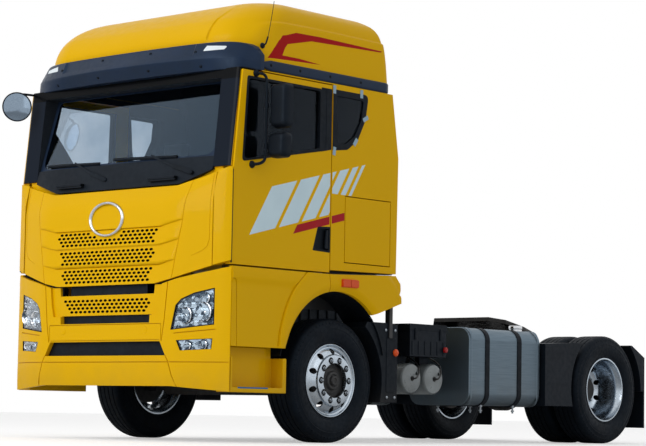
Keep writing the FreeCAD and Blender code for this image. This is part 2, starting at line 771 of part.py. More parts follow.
def steps():
    """Side walls, back wall and tread of the pocket that a boot goes into."""
    block = box("StepBlock", ("step_back - step_skin", "cab_half"), (ahead("step_front"), ahead("step_rear")),
                ("step_bottom", "step_top"))
    pocket = box("StepPocket", ("step_back", "cab_half + 20"),
                 (ahead("step_front - step_skin"), ahead("step_rear + 2 * step_skin")),
                 ("step_bottom + step_tread", "step_top + 20"))
    under = box("StepUnder", ("step_back - 10", "cab_half - 2 * step_skin"),
                (ahead("step_front - 2 * step_skin"), ahead("step_rear + 3 * step_skin")),
                ("step_bottom - 10", "step_bottom + step_tread - step_skin"))
    back = box("StepBack", ("step_back - step_skin", "step_back"),
               (ahead("step_front"), ahead("step_rear + 2 * step_skin")), ("step_top - 10", "panel_bottom + 6"))
    arm = box("StepArm", (RAIL_SIDE, "step_back - step_skin + 1"), (ahead("1000"), ahead("940")),
              (RAIL_BOTTOM + " - 20", RAIL_BOTTOM + " + 60"))
    parts = fuse("StepParts", [cut("StepCut", block, [pocket, under]), back, arm])
    node("steps", both_sides("Steps", parts))


def arch_panels():
    inner = "cab_half - panel_wall"
    panel = prism("ArchPanel", "YZ_Plane", [
        (ahead("1284"), "panel_bottom"), (ahead("640"), "panel_bottom"), (ahead("arch_ahead"), "panel_bottom + 60"),
        (behind("385"), "1052"), (behind("728"), "1163"), (behind("722"), "1330"), (behind("672"), "cab_floor + 35 - cab_clear"),
        (ahead("door_rear - 25"), "cab_floor + 18 - cab_clear"), (ahead("door_rear - 12"), "cab_floor - cab_clear"),
        (ahead("1284"), "cab_floor - cab_clear"),
    ], inner, "cab_half")
    opening = rod("ArchOpening", "x", "arch_radius", inner + " - 20", "cab_half + 20",
                  ("0", ahead("arch_ahead"), "arch_z"))
    side = cut("ArchSide", panel, [opening])
    ring = rod("LinerOuter", "x", "arch_radius + liner_wall", "tyre_radius * 2 - 140", inner + " + 5",
               ("0", ahead("arch_ahead"), "arch_z"))
    hollow = rod("LinerInner", "x", "arch_radius", "tyre_radius * 2 - 160", inner + " + 25",
                 ("0", ahead("arch_ahead"), "arch_z"))
    reach = prism("LinerReach", "YZ_Plane", [
        (ahead("arch_ahead + arch_radius + 20"), "panel_bottom"), (ahead("arch_ahead"), "panel_bottom"),
        (behind("385"), "1050"), (behind("385"), "arch_z + arch_radius + 20"),
        (ahead("arch_ahead + arch_radius + 20"), "arch_z + arch_radius + 20"),
    ], "tyre_radius * 2 - 150", inner + " + 15")
    liner = common("Liner", cut("LinerRing", ring, [hollow]), reach)
    front_stay = box("FrontStay", (RAIL_SIDE, inner + " + 10"), (ahead("715"), ahead("672")), ("752", "800"))
    rear_stay = box("RearStay", (RAIL_SIDE, inner), (behind("650"), behind("690")), ("870", "930"))
    upright = box("RearUpright", (inner + " - 45", inner + " + 10"), (behind("650"), behind("690")), ("870", "1300"))
    node("arch_panels", both_sides("ArchPanels", fuse("ArchAll", [side, liner, front_stay, rear_stay, upright])))


def front_mudguards():
    block = prism("GuardBlock", "YZ_Plane", [
        (behind("590"), "335"), (behind("765"), "335"), (behind("765"), "860"), (behind("640"), "860"),
        (behind("500"), "850"),
    ], "870", "1190")
    clear = rod("GuardClear", "x", "guard_radius", "850", "1210", ("0", "front_axle_y", "tyre_radius"))
    stay = box("GuardStay", (RAIL_SIDE, "880"), (behind("700"), behind("750")), ("740", "800"))
    node("front_mudguards", both_sides("FrontGuards", cut("Guard", fuse("GuardParts", [block, stay]), [clear])))


def rear_mudguards():
    wheel = ("0", REAR_AXLE, "tyre_radius")
    span = ("rear_guard_inner", "rear_guard_outer")
    front = "rear_guard_front"
    block = prism("RearGuardBlock", "YZ_Plane", [
        (behind(front), "341"), (behind("3320"), "341"), (behind("3470"), "927"), (behind("3245"), "927"),
        (behind(front), "905"),
    ], *span)
    hollow = prism("RearGuardHollow", "YZ_Plane", [
        (behind(front + " + 20"), "300"), (behind("3195"), "300"), (behind("3195"), "560"), (behind("3285"), "885"),
        (behind(front + " + 20"), "885"),
    ], "rear_guard_inner - 10", "rear_guard_outer - 20")
    tail = prism("RearGuardTail", "YZ_Plane", [
        (behind("4000"), "935"), (behind("4223"), "935"), (behind("4440"), "823"), (behind("4440"), "150"),
        (behind("4420"), "150"), (behind("4420"), "500"), (behind("4330"), "500"),
    ], *span)
    clear = rod("RearGuardClear", "x", "rear_guard_radius", "rear_guard_inner - 20", "rear_guard_outer + 20", wheel)
    front_stay = rod("FrontGuardStay", "x", "22", RAIL_SIDE, "rear_guard_inner + 5", ("0", behind(front + " + 10"), "860"))
    wall = box("FrontGuardWall", ("rear_guard_inner", "rear_guard_inner + 20"),
               (behind(front), behind(front + " + 60")), ("820", "900"))
    rear_stay = rod("RearGuardStay", "x", "22", RAIL_SIDE, "rear_guard_inner + 5", ("0", behind("4400"), "800"))
    ahead_part = cut("RearGuardFront", block, [hollow, clear])
    back_part = cut("RearGuardBack", tail, [clear])
    side = fuse("RearGuardSide", [fuse("GuardFrontAll", [ahead_part, wall, front_stay]),
                                  fuse("GuardBackAll", [back_part, rear_stay])])
    node("rear_mudguards", both_sides("RearGuards", side))


# Fifth wheel coupling

def fifth_wheel():
    pivot = ("0", behind("coupling_y"), "coupling_z")
    plate = box("CouplingBase", ("-(frame_width / 2 - 1)", "frame_width / 2 - 1"),
                (behind("coupling_y - 300"), behind("coupling_y + 300")), ("rail_top + seat_gap", "rail_top + 16"))
    feet = [box("CouplingFoot", (low, high), (behind("coupling_y - 60"), behind("coupling_y + 60")),
                ("rail_top + 10", "coupling_z + 40")) for low, high in (("300", "370"), ("-370", "-300"))]
    bores = [rod("CouplingBore", "x", "20 + seat_gap", "-400", "400", pivot)]
    node("fifth_wheel_base", cut("FifthBase", fuse("FifthBaseParts", [plate] + feet), bores))
    low, top = "coupling_rise - coupling_wall", "coupling_rise"
    deck = prism("Deck", "XY_Plane", [
        ("-330", "-280"), ("330", "-280"), ("coupling_half", "-150"), ("coupling_half", "150"), ("380", "400"),
        ("180", "400"), ("kingpin_bore", "90"), ("-kingpin_bore", "90"), ("-180", "400"), ("-380", "400"),
        ("-coupling_half", "150"), ("-coupling_half", "-150"),
    ], low, top)
    pin_hole = rod("KingpinHole", "z", "kingpin_bore", low + " - 10", top + " + 10", ("0", "0", "0"))
    jaw = box("Jaw", ("-90", "90"), ("50", "110"), (low, top + " - 8"))
    ears = [box("Ear", (a, b), ("-60", "60"), ("-32", low + " + 5")) for a, b in (("376", "420"), ("-420", "-376"))]
    pins = [rod("EarPin", "x", "20", a, b, ("0", "0", "0")) for a, b in (("302", "400"), ("-400", "-302"))]
    whole = cut("FifthPlate", fuse("FifthParts", [deck, jaw] + ears + pins), [pin_hole])
    whole.Placement.Rotation = FreeCAD.Rotation(FreeCAD.Vector(-1, 0, 0), 1)
    whole.setExpression(".Placement.Rotation.Angle", cells("coupling_tilt * 1 deg"))
    move(whole, pivot)
    node("fifth_wheel_plate", whole)


# Cab shell and its glass

def side_cutter(name, corners):
    """A prism through the left side wall."""
    return prism(name, "YZ_Plane", corners, "cab_half - cab_wall - 40", "cab_half + 40")


def door_corners(grow):
    """The door's outline on the cab's side, grown by an amount."""
    return [
        (ahead("door_front + " + grow), "cab_floor - (%s)" % grow), (ahead("door_front + " + grow), "pillar_foot_z"),
        (ahead("door_head + " + grow), "door_top + " + grow), (ahead("door_rear - (%s)" % grow), "door_top + " + grow),
        (ahead("door_rear - (%s)" % grow), "cab_floor - (%s)" % grow),
    ]


def quarter_corners(grow):
    return [
        (ahead("88 + " + grow), "2437"), (ahead("121 + " + grow), "window_top + " + grow),
        (behind("262 + " + grow), "window_top + " + grow), (behind("235 + " + grow), "2640"),
        (behind("140 + " + grow), "2490 - (%s)" % grow), (ahead("20"), "2405 - (%s)" % grow),
    ]


def cab_shell():
    outer = prism("CabOuter", "YZ_Plane", [
        (ahead("firewall_y"), "cab_floor"), (ahead("firewall_y"), "pillar_foot_z - 8"),
        (ahead("pillar_foot"), "pillar_foot_z"), (ahead("pillar_head"), "cab_top"),
        (behind("cab_rear_top"), "cab_top"), (behind("cab_rear"), "cab_rear_z"), (behind("cab_rear - 12"), "cab_floor + 35"),
    ], "-cab_half", "cab_half")
    corner_y = value(ahead("pillar_foot"))
    shell = rounded("CabRounded", outer, "cab_corner",
                    lambda edge: runs_along(edge, "z") and edge.BoundBox.ZMin > value("pillar_foot_z") - 20
                    and edge.BoundBox.YMin < corner_y + 150)
    inner = prism("CabInner", "YZ_Plane", [
        (ahead("firewall_y - firewall_wall"), "cab_floor + floor_wall"), (ahead("firewall_y - firewall_wall"), "2150"),
        (ahead("screen_head - 70"), "screen_top + 15"), (ahead("screen_head - 70"), "cab_top + 20"),
        (behind("cab_rear_top - 68"), "cab_top + 20"), (behind("cab_rear - 72"), "cab_rear_z"),
        (behind("cab_rear - 84"), "cab_floor + floor_wall"),
    ], "-(cab_half - cab_wall)", "cab_half - cab_wall")
    screen = box("ScreenHole", ("-screen_half", "screen_half"), (ahead("pillar_foot + 60"), ahead("screen_head - 120")),
                 ("pillar_foot_z - 15", "screen_top"))
    holes = [
        side_cutter("DoorHole", door_corners("door_gap")), side_cutter("QuarterHole", quarter_corners("0")),
        side_cutter("HatchHole", [
            (behind("hatch_front - hatch_gap"), "hatch_bottom - hatch_gap"),
            (behind("hatch_rear + hatch_gap"), "hatch_bottom - hatch_gap"),
            (behind("hatch_rear + hatch_gap"), "hatch_top + hatch_gap"),
            (behind("hatch_front - hatch_gap"), "hatch_top + hatch_gap"),
        ]),
    ]
    left = fuse("SideHoles", holes)
    hollow = cut("CabHollow", shell, [inner, screen, left, mirrored("SideHolesRight", left)])
    shelf = box("BunkShelf", ("-(cab_half - cab_wall + 5)", "cab_half - cab_wall + 5"),
                (behind("hatch_front + 10"), behind("cab_rear - 75")), ("hatch_top + 14", "hatch_top + 34"))
    arm = prism("TiltArm", "YZ_Plane", [
        (ahead("tilt_y + 30"), "tilt_z - 30"), (ahead("tilt_y + 30"), "tilt_z + 30"),
        (ahead("tilt_y - 20"), "tilt_z + 48"), (ahead("tilt_y - 265"), "tilt_z + 290"),
        (ahead("tilt_y - 265"), "cab_floor + 10"), (ahead("tilt_y - 360"), "cab_floor + 10"),
        (ahead("tilt_y - 360"), "tilt_z + 235"), (ahead("tilt_y - 35"), "tilt_z - 40"),
    ], "tilt_arm_x", "tilt_arm_x + tilt_arm_wall")
    pin = rod("TiltPin", "x", "tilt_pin", "frame_width / 2 + 4", "tilt_arm_x + 10", ("0", ahead("tilt_y"), "tilt_z"))
    side_parts = [arm, pin] + door_hinges() + hatch_pins("HatchPin", "hinge_pin", "15")
    node("cab_shell", fuse("CabShell", [hollow, shelf, both_sides("CabSides", fuse("CabSide", side_parts))]))


def windscreen():
    half = "screen_half - seat_gap"
    sections = []
    for side, share in (("-(%s)" % half, 1), ("-(%s) / 2" % half, 0.25), ("0", 0), ("(%s) / 2" % half, 0.25), (half, 1)):
        foot = ahead("screen_foot - screen_bow * %s" % share)
        head = ahead("screen_head - screen_bow * %s / 4" % share)
        sections.append((side, [
            (foot, "screen_bottom"), (head, "screen_top - seat_gap"),
            (head + " + glass_wall", "screen_top - seat_gap"), (foot + " + glass_wall", "screen_bottom"),
        ]))
    node("windscreen", loft("Windscreen", "YZ_Plane", sections, ruled=False))


def quarter_windows():
    pane = prism("QuarterPane", "YZ_Plane", quarter_corners("-seat_gap"), "cab_half - 14", "cab_half - 8")
    node("quarter_windows", both_sides("QuarterPanes", pane))


def cowl_panel():
    back = ahead("firewall_y + seat_gap")
    sections = []
    for side, low, high, bottom in (("-(screen_half - 1)", "1318", "1296", "2112"), ("-flap_flat", "1366", "1330", "2012"),
                                    ("flap_flat", "1366", "1330", "2012"), ("screen_half - 1", "1318", "1296", "2112")):
        sections.append((side, [
            (ahead(low), bottom), (ahead(high), "screen_bottom - seat_gap"), (back, "screen_bottom - seat_gap"),
            (back, bottom),
        ]))
    node("cowl_panel", loft("Cowl", "YZ_Plane", sections))


def corner_panels():
    plan = prism("CornerPlan", "XY_Plane", [
        ("flap_half + flap_gap", ahead("firewall_y + seat_gap")), ("flap_half + flap_gap", ahead("1368")), ("cab_half - 57", ahead("1338")),
        ("cab_half - 17", ahead("1316")), ("cab_half", ahead("1300")), ("cab_half", ahead("door_front + door_gap")),
        ("cab_half - cab_wall + 3", ahead("door_front + door_gap")),
        ("cab_half - cab_wall + 3", ahead("firewall_y + seat_gap")),
    ], "1300", "2200")
    front = prism("CornerFront", "XZ_Plane", [
        ("flap_half - 10", "1360"), ("cab_half + 10", "1402"), ("cab_half + 10", "pillar_foot_z - 9"),
        ("flap_half - 10", "pillar_foot_z - 38"),
    ], ahead("1500"), ahead("1200"))
    lean = prism("CornerLean", "YZ_Plane", [
        (ahead("1390"), "1300"), (ahead("1390"), "1830"), (ahead("1318"), "2140"), (ahead("1280"), "2140"),
        (ahead("1280"), "1300"),
    ], "1000", "1300")
    panel = common("CornerAll", common("CornerTwo", plan, front), lean)
    pin = rod("FlapPin", "x", "hinge_pin", "flap_half - 15", "flap_half + flap_gap + 10",
              ("0", ahead("flap_hinge_y"), "flap_hinge_z"))
    node("corner_panels", both_sides("Corners", fuse("CornerWithPin", [panel, pin])))


# Roof, visor and side strips

ROOF_LEVELS = (
    # height, half width, front (ahead of the axle), rear (behind it), front corner radius
    ("cab_top + seat_gap", "roof_half", 1190, 590, 380),
    ("cab_top + 148", "roof_half", 1205, 574, 400),
    ("cab_top + 288", "roof_half", 1190, 530, 400),
    ("cab_top + 418", "roof_half - 8", 1110, 480, 380),
    ("cab_top + 498", "roof_half - 34", 1010, 462, 340),
    ("cab_top + 558", "roof_half - 90", 910, 440, 300),
    ("cab_top + 608", "roof_half - 200", 800, 400, 260),
    ("roof_top - 14", "roof_half - 380", 660, 320, 200),
    ("roof_top", "roof_half - 560", 520, 240, 150),
)


def roof_loft(shrink):
    """The roof's outer form, or the same form drawn in on all sides."""
    wires = []
    for level, half, front, rear, radius in ROOF_LEVELS:
        z = value(level) - (shrink if shrink > 0 else 0)
        side = value(half) - shrink
        low = value(ahead(str(front))) + shrink
        high = value(behind(str(rear))) - shrink
        back = 80
        bend = radius - shrink
        wires.append(rounded_frame(side, low, high, bend, back, z))
    return Part.makeLoft(wires, True, False)


def rounded_frame(side, low, high, front_radius, back_radius, z):
    """A closed outline with round corners, wide front ones and tight back ones."""
    def corner(cx, cy, radius, start):
        circle = Part.Circle(FreeCAD.Vector(cx, cy, z), FreeCAD.Vector(0, 0, 1), radius)
        return Part.Arc(circle, math.radians(start), math.radians(start + 90)).toShape()
    f, b = front_radius, back_radius
    arcs = [corner(side - b, high - b, b, 0), corner(b - side, high - b, b, 90),
            corner(f - side, low + f, f, 180), corner(side - f, low + f, f, 270)]
    points = [(side - b, high), (b - side, high), (-side, high - b), (-side, low + f),
              (f - side, low), (side - f, low), (side, low + f), (side, high - b)]
    points = [FreeCAD.Vector(x, y, z) for x, y in points]
    lines = [Part.makeLine(points[i], points[i + 1]) for i in (0, 2, 4, 6)]
    edges = [arcs[0], lines[0], arcs[1], lines[1], arcs[2], lines[2], arcs[3], lines[3]]
    return Part.Wire(edges)


def roof():
    shell = doc.addObject("Part::Feature", "Roof")
    inside = roof_loft(value("roof_wall"))
    below = Part.makeBox(value("2 * (roof_half - roof_wall)"), 1690, 200,
                         FreeCAD.Vector(value("roof_wall - roof_half"), value(ahead("1150")), value("cab_top") - 100))
    shell.Shape = roof_loft(0).cut(inside).cut(below)
    node("roof", shell)


def sun_visor():
    sections = []
    stations = (
        # across, low edge, crease, top edge (each ahead of the axle)
        ("cab_half - 52", 1196, 1180, 1098), ("cab_half - 102", 1226, 1222, 1132),
        ("cab_half - 247", 1252, 1262, 1213), ("cab_half - 462", 1272, 1310, 1262),
        ("cab_half - 847", 1296, 1350, 1282), ("0", 1305, 1365, 1288),
    )
    whole = [("-(%s)" % row[0],) + row[1:] for row in stations] + [row for row in reversed(stations[:-1])]
    for x, low, crease, top in whole:
        sections.append((x, [
            (ahead(str(low)), "cab_top - 9"), (ahead(str(crease)), "cab_top + 89"),
            (ahead(str(top)), "cab_top + 222"), (ahead("1030"), "cab_top + 222"), (ahead("1030"), "cab_top - 9"),
        ]))
    block = loft("VisorBlock", "YZ_Plane", sections)
    keep_out = doc.addObject("Part::Feature", "RoofSpace")
    keep_out.Shape = roof_loft(-value("seat_gap"))
    cab_space = box("CabSpace", ("-cab_half - 10", "cab_half + 10"), (ahead("pillar_head + 4"), ahead("900")),
                    ("cab_top - 30", "cab_top + 2"))
    node("sun_visor", cut("SunVisor", block, [keep_out, cab_space]))


def side_strips():
    strip = box("Strip", ("roof_half + seat_gap", "cab_half + 9"), (ahead("1000"), behind("500")),
                ("cab_top + 3", "cab_top + 91"))
    node("side_strips", both_sides("Strips", strip))


# Doors, hatches and flap

DOOR_HINGES = ("1590", "2020")


def door_hinges():
    """Leaves from the firewall's end, each with a barrel and a pin on the door's axis."""
    pieces = []
    for low in DOOR_HINGES:
        high = low + " + hinge_height"
        pieces.append(box("HingeLeaf", ("cab_half - cab_wall - 50", "hinge_x"),
                          (ahead("hinge_y + hinge_radius"), ahead("hinge_y - hinge_radius")), (low, high)))
        pieces.append(rod("HingeBarrel", "z", "hinge_radius", low, high, ("hinge_x", ahead("hinge_y"), "0")))
        pieces.append(rod("HingePin", "z", "hinge_pin", low + " - 18", high + " + 18", ("hinge_x", ahead("hinge_y"), "0")))
    return pieces


def doors():
    skin = prism("DoorSkin", "YZ_Plane", door_corners("0"), "cab_half - cab_wall", "cab_half")
    pane_edge = [
        (ahead("window_front"), "window_bottom"), (ahead("window_head"), "window_top"),
        (ahead("window_rear"), "window_top"), (ahead("window_rear"), "window_bottom + window_drop"),
    ]
    window = side_cutter("DoorWindow", pane_edge)
    grip = prism("GripRecess", "YZ_Plane", [
        (ahead("366"), "1544"), (ahead("169"), "1537"), (ahead("168"), "1735"), (ahead("310"), "1727"),
    ], "cab_half - 26", "cab_half + 5")
    notches = []
    for low in DOOR_HINGES:
        notches.append(box("HingeNotch", ("cab_half - cab_wall - 1", "cab_half - 1.6"),
                           (ahead("door_front + 1"), ahead("hinge_y - hinge_radius - running_gap")),
                           (low + " - running_gap", low + " + hinge_height + running_gap")))
        notches.append(rod("HingeBore", "z", "hinge_pin + seat_gap", low + " - 22", low + " + hinge_height + 22",
                           ("hinge_x", ahead("hinge_y"), "0")))
    left = cut("DoorLeft", skin, [window, grip] + notches)
    node("door_left", left)
    node("door_right", mirrored("DoorRight", left))
    pane = prism("DoorPane", "YZ_Plane", [
        (ahead("window_front - seat_gap"), "window_bottom + seat_gap"),
        (ahead("window_head - seat_gap"), "window_top - seat_gap"),
        (ahead("window_rear + seat_gap"), "window_top - seat_gap"),
        (ahead("window_rear + seat_gap"), "window_bottom + window_drop"),
    ], "cab_half - 28", "cab_half - 22")
    node("glass_left", pane)
    node("glass_right", mirrored("PaneRight", pane))


def door_mirrors():
    y = ahead("1010")
    main = box("MirrorMain", ("1320", "1505"), (ahead("1000"), ahead("905")), ("2450", "2795"))
    wide = box("MirrorWide", ("1310", "1500"), (ahead("1015"), ahead("915")), ("2212", "2410"))
    main_round = rounded("MirrorMainRound", main, "30", lambda edge: True)
    wide_round = rounded("MirrorWideRound", wide, "30", lambda edge: True)
    post = rod("MirrorPost", "z", "14", "2180", "2865", ("1322", ahead("1010"), "0"))
    arms = [rod("MirrorArm", "x", "14", "cab_half + seat_gap", "1334", ("0", y, z)) for z in ("2180", "2863")]
    clamps = [box("MirrorClamp", ("1312", "1352"), (ahead("1018"), ahead("960")), (z, z + " + 60"))
              for z in ("2270", "2590")]
    left = fuse("MirrorLeft", [main_round, wide_round, post] + arms + clamps)
    node("mirror_left", left)
    node("mirror_right", mirrored("MirrorRight", left))


def hatch_pins(name, radius, reach):
    """Two short rods on the hatch's axis, one at each end of it."""
    low, high = behind("hatch_front"), behind("hatch_rear")
    place = ("hatch_hinge_x", "0", "hatch_hinge_z")
    return [rod(name, "y", radius, low + " - hatch_gap - 3", low + " + " + reach, place),
            rod(name, "y", radius, high + " - " + reach, high + " + hatch_gap + 3", place)]


def hatches():
    plate = box("HatchPlate", ("cab_half - hatch_wall", "cab_half"), (behind("hatch_front"), behind("hatch_rear")),
                ("hatch_bottom", "hatch_top"))
    left = cut("HatchLeft", plate, hatch_pins("HatchBore", "hinge_pin + seat_gap", "19"))
    node("hatch_left", left)
    node("hatch_right", mirrored("HatchRight", left))


def oval_rows(name, bands, narrowing, depth, badge="0"):
    """Staggered rows of six-sided punches in bands; the rows get shorter towards the bottom."""
    punches = []
    low, high = (value(text) for text in depth)
    pitch = value("punch_pitch")
    for top, half in bands:
        for row in range(value_count("punch_rows")):
            drop = row * value("punch_row")
            z = value(top) - drop
            reach = value(half) - drop * narrowing
            shift = pitch / 4 if row % 2 else -pitch / 4
            count = int(reach / pitch) + 1
            places = [i * pitch + shift for i in range(-count, count + 1)]
            for x in places:
                if abs(x) > reach or math.hypot(x, z - value("badge_z")) < value(badge):
                    continue
                corners = [FreeCAD.Vector(x + value("punch_half") * math.cos(math.radians(turn)), low,
                                          z + value("punch_rise") * math.sin(math.radians(turn)))
                           for turn in range(0, 361, 60)]
                face = Part.Face(Part.makePolygon(corners))
                punches.append(face.extrude(FreeCAD.Vector(0, high - low, 0)))
    tool = doc.addObject("Part::Feature", name)
    tool.Shape = Part.makeCompound(punches)
    return tool


def flap_section(sweep, bottom, top):
    """The flap's upright section: a flat face, then a lean back to the windscreen."""
    front = "flap_front - (%s)" % sweep
    tip = "flap_front - flap_lean - (%s) * 0.62" % sweep
    low, high = "flap_bottom + " + bottom, "flap_top + " + top
    return [
        (ahead(front + " - 12"), low), (ahead(front), low + " + 30"), (ahead(front), "flap_top - 150"),
        (ahead(tip), high), (ahead(tip + " - flap_wall"), high + " - 8"),
        (ahead(front + " - flap_wall"), "flap_top - 158"), (ahead(front + " - flap_wall"), low + " + 30"),
        (ahead(front + " - flap_wall"), low),
    ]


def front_flap():
    middle = prism("FlapMiddle", "YZ_Plane", flap_section("0", "0", "0"), "-flap_flat", "flap_flat")
    rise = prism("FlapRise", "XZ_Plane", [
        ("slot_half + 47", "flap_bottom - 30"), ("slot_half + 47", "flap_bottom"), ("flap_flat", "flap_bottom + 30"),
        ("flap_flat + 1", "flap_bottom - 30"),
    ], ahead("flap_front + 30"), ahead("flap_front - flap_wall - 30"))
    depth = (ahead("flap_front + 30"), ahead("flap_front - flap_wall - 30"))
    bands = (("badge_z - 108", "flap_flat - 146"), ("badge_z - 259", "flap_flat - 168"), ("badge_z - 410", "flap_flat - 192"))
    punched = cut("FlapPunched", middle, [oval_rows("FlapBands", bands, 0.47, depth, "badge_radius + 22")])
    raised = cut("FlapRaised", punched, [both_sides("FlapRises", rise)])
    wing = loft("FlapWing", "YZ_Plane", [
        ("flap_flat", flap_section("0", "30", "0")), ("flap_half", flap_section("flap_sweep", "flap_rise", "flap_sweep")),
    ])
    ring = rod("BadgeRing", "y", "badge_radius", ahead("flap_front + 12"), ahead("flap_front - 10"),
               ("0", "0", "badge_z"))
    core = rod("BadgeCore", "y", "badge_radius - badge_width", ahead("flap_front + 40"), ahead("flap_front - 2"),
               ("0", "0", "badge_z"))
    whole = fuse("FlapWithBadge", [raised, both_sides("FlapWings", wing), cut("Badge", ring, [core])])
    bores = [rod("FlapBore", "x", "hinge_pin + seat_gap", low, high, ("0", ahead("flap_hinge_y"), "flap_hinge_z"))
             for low, high in (("flap_half - 18", "flap_half + 5"), ("-flap_half - 5", "18 - flap_half"))]
    node("front_flap", cut("FrontFlap", whole, bores))


# Bumper and its lamps

def bumper_centre():
    skin = prism("BumperSkin", "YZ_Plane", [
        (ahead("bumper_front - 22"), "bumper_bottom"), (ahead("bumper_front"), "bumper_bottom + 50"),
        (ahead("bumper_front"), "bumper_top - 42"), (ahead("bumper_front - 20"), "bumper_top"),
        (ahead("bumper_front - bumper_wall"), "bumper_top"), (ahead("bumper_front - bumper_wall"), "bumper_bottom"),
    ], "-bumper_half", "bumper_half")
    depth = (ahead("bumper_front + 30"), ahead("bumper_front - bumper_wall - 30"))
    notch = box("TopNotch", ("-notch_half", "notch_half"), depth, ("notch_bottom", "bumper_top + 30"))
    slot = box("LowerSlot", ("-slot_half", "slot_half"), depth, ("slot_bottom", "slot_top"))
    intake = prism("Intake", "XZ_Plane", [
        ("-intake_bottom_half", "intake_bottom"), ("intake_bottom_half", "intake_bottom"),
        ("intake_top_half", "intake_top"), ("-intake_top_half", "intake_top"),
    ], *depth)
    recess = prism("BumperRecess", "XZ_Plane", [
        ("-slot_half - 94", "slot_top"), ("slot_half + 94", "slot_top"), ("slot_half + 140", "bumper_top + 30"),
        ("-slot_half - 140", "bumper_top + 30"),
    ], ahead("bumper_front + 30"), ahead("bumper_front - recess_depth"))
    band = oval_rows("BumperBand", [("bumper_top - 113", "slot_half - 16")], 0.51, depth)
    brackets = [box("BumperBracket", (low, high), (ahead("bumper_front - bumper_wall + 5"), ahead("frame_front + seat_gap")),
                    ("800", "870")) for low, high in (("350", "frame_width / 2 - 2"), ("-(frame_width / 2 - 2)", "-350"))]
    open_skin = cut("BumperOpen", skin, [recess, notch, slot, intake])
    node("bumper_centre", fuse("BumperCentre", [cut("BumperPunched", open_skin, [band])] + brackets))


def corner_plan(name, step_in, depth):
    """The bumper corner's plan outline, as a tall prism; step_in sets its face back."""
    def row(x, y):
        return (x, ahead("%s - (%s)" % (y, step_in)))
    face = [row("bumper_half + bumper_seam", "1459"), row("cab_half - 397", "1438"), row("cab_half - 247", "1396"),
            row("cab_half - 117", "1348"), row("cab_half - 35", "1316"), row("cab_half", "1292")]
    back = [("cab_half - 60", ahead("1291")), ("cab_half - 117", ahead("1348 - (%s)" % depth)),
            ("cab_half - 247", ahead("1396 - (%s)" % depth)), ("cab_half - 397", ahead("1438 - (%s)" % depth)),
            ("bumper_half + bumper_seam", ahead("1459 - (%s)" % depth))]
    return prism(name, "XY_Plane", face + back, "350", "1450")


HEADLAMP = (("cab_half - 490", "863"), ("cab_half - 446", "1056"), ("cab_half - 397", "1105"),
            ("cab_half - 287", "1150"), ("cab_half - 118", "1188"), ("cab_half - 119", "903"))
FOG_LAMP = (("cab_half - 399", "704"), ("cab_half - 436", "784"), ("cab_half - 130", "798"), ("cab_half - 137", "716"))


def lamp_block(name, corners, shrink):
    """A prism of a lamp's front outline, drawn in towards its middle."""
    mid_x = sum(value(a) for a, b in corners) / len(corners)
    mid_z = sum(value(b) for a, b in corners) / len(corners)
    drawn = []
    for a, b in corners:
        drawn.append(("%s + (%s)" % (a, shrink) if value(a) < mid_x else "%s - (%s)" % (a, shrink),
                      "%s + (%s)" % (b, shrink) if value(b) < mid_z else "%s - (%s)" % (b, shrink)))
    return prism(name, "XZ_Plane", drawn, ahead("1600"), ahead("1200"))


def bumper_corners():
    plan = corner_plan("CornerSkin", "0", "bumper_wall + 10")
    front = prism("CornerHeight", "XZ_Plane", [
        ("bumper_half - 10", "bumper_bottom"), ("cab_half + 10", "bumper_bottom - 38"), ("cab_half + 10", "1351"),
        ("cab_half - 443", "1262"), ("bumper_half - 10", "1245"),
    ], ahead("1600"), ahead("1200"))
    recesses = [lamp_block("HeadRecess", HEADLAMP, "0"), lamp_block("FogRecess", FOG_LAMP, "0")]
    node("bumper_corners", both_sides("BumperCorners", cut("CornerCut", common("CornerShape", plan, front), recesses)))


def front_lamps():
    plan = corner_plan("LampPlan", "3", "lamp_depth")
    lamps = fuse("LampFronts", [lamp_block("HeadFront", HEADLAMP, "lamp_gap"), lamp_block("FogFront", FOG_LAMP, "lamp_gap")])
    node("front_lamps", both_sides("FrontLamps", common("LampShapes", plan, lamps)))


def small_lamps():
    tail = box("TailLamp", ("560", "820"), (behind("4560"), behind("4600")), ("800", "900"))
    arm = box("TailArm", (RAIL_SIDE, "570"), (behind("4560"), behind("4590")), ("830", "870"))
    node("tail_lamps", both_sides("TailLamps", fuse("TailLampArm", [tail, arm])))
    side = box("MarkerLamp", ("cab_half + seat_gap", "cab_half + 12"), (ahead("33"), behind("164")), ("1262", "1326"))
    node("marker_lamps", both_sides("MarkerLamps", side))


def front_mirror():
    dish = turned("MirrorDish", [
        ("-30", "0"), ("-30", "70"), ("-10", "118"), ("8", "125"), ("20", "100"), ("26", "50"), ("28", "0"),
    ], ("-1185", ahead("1440"), "2770"))
    dish.Placement.Rotation = FreeCAD.Rotation(FreeCAD.Vector(0, 0, 1), -32)
    arm = rod("FrontMirrorArm", "y", "11", ahead("1440"), ahead("pillar_head + 5.5"), ("-1185", "0", "2868"))
    node("front_mirror", fuse("FrontMirror", [dish, arm]))


# Inside the cab

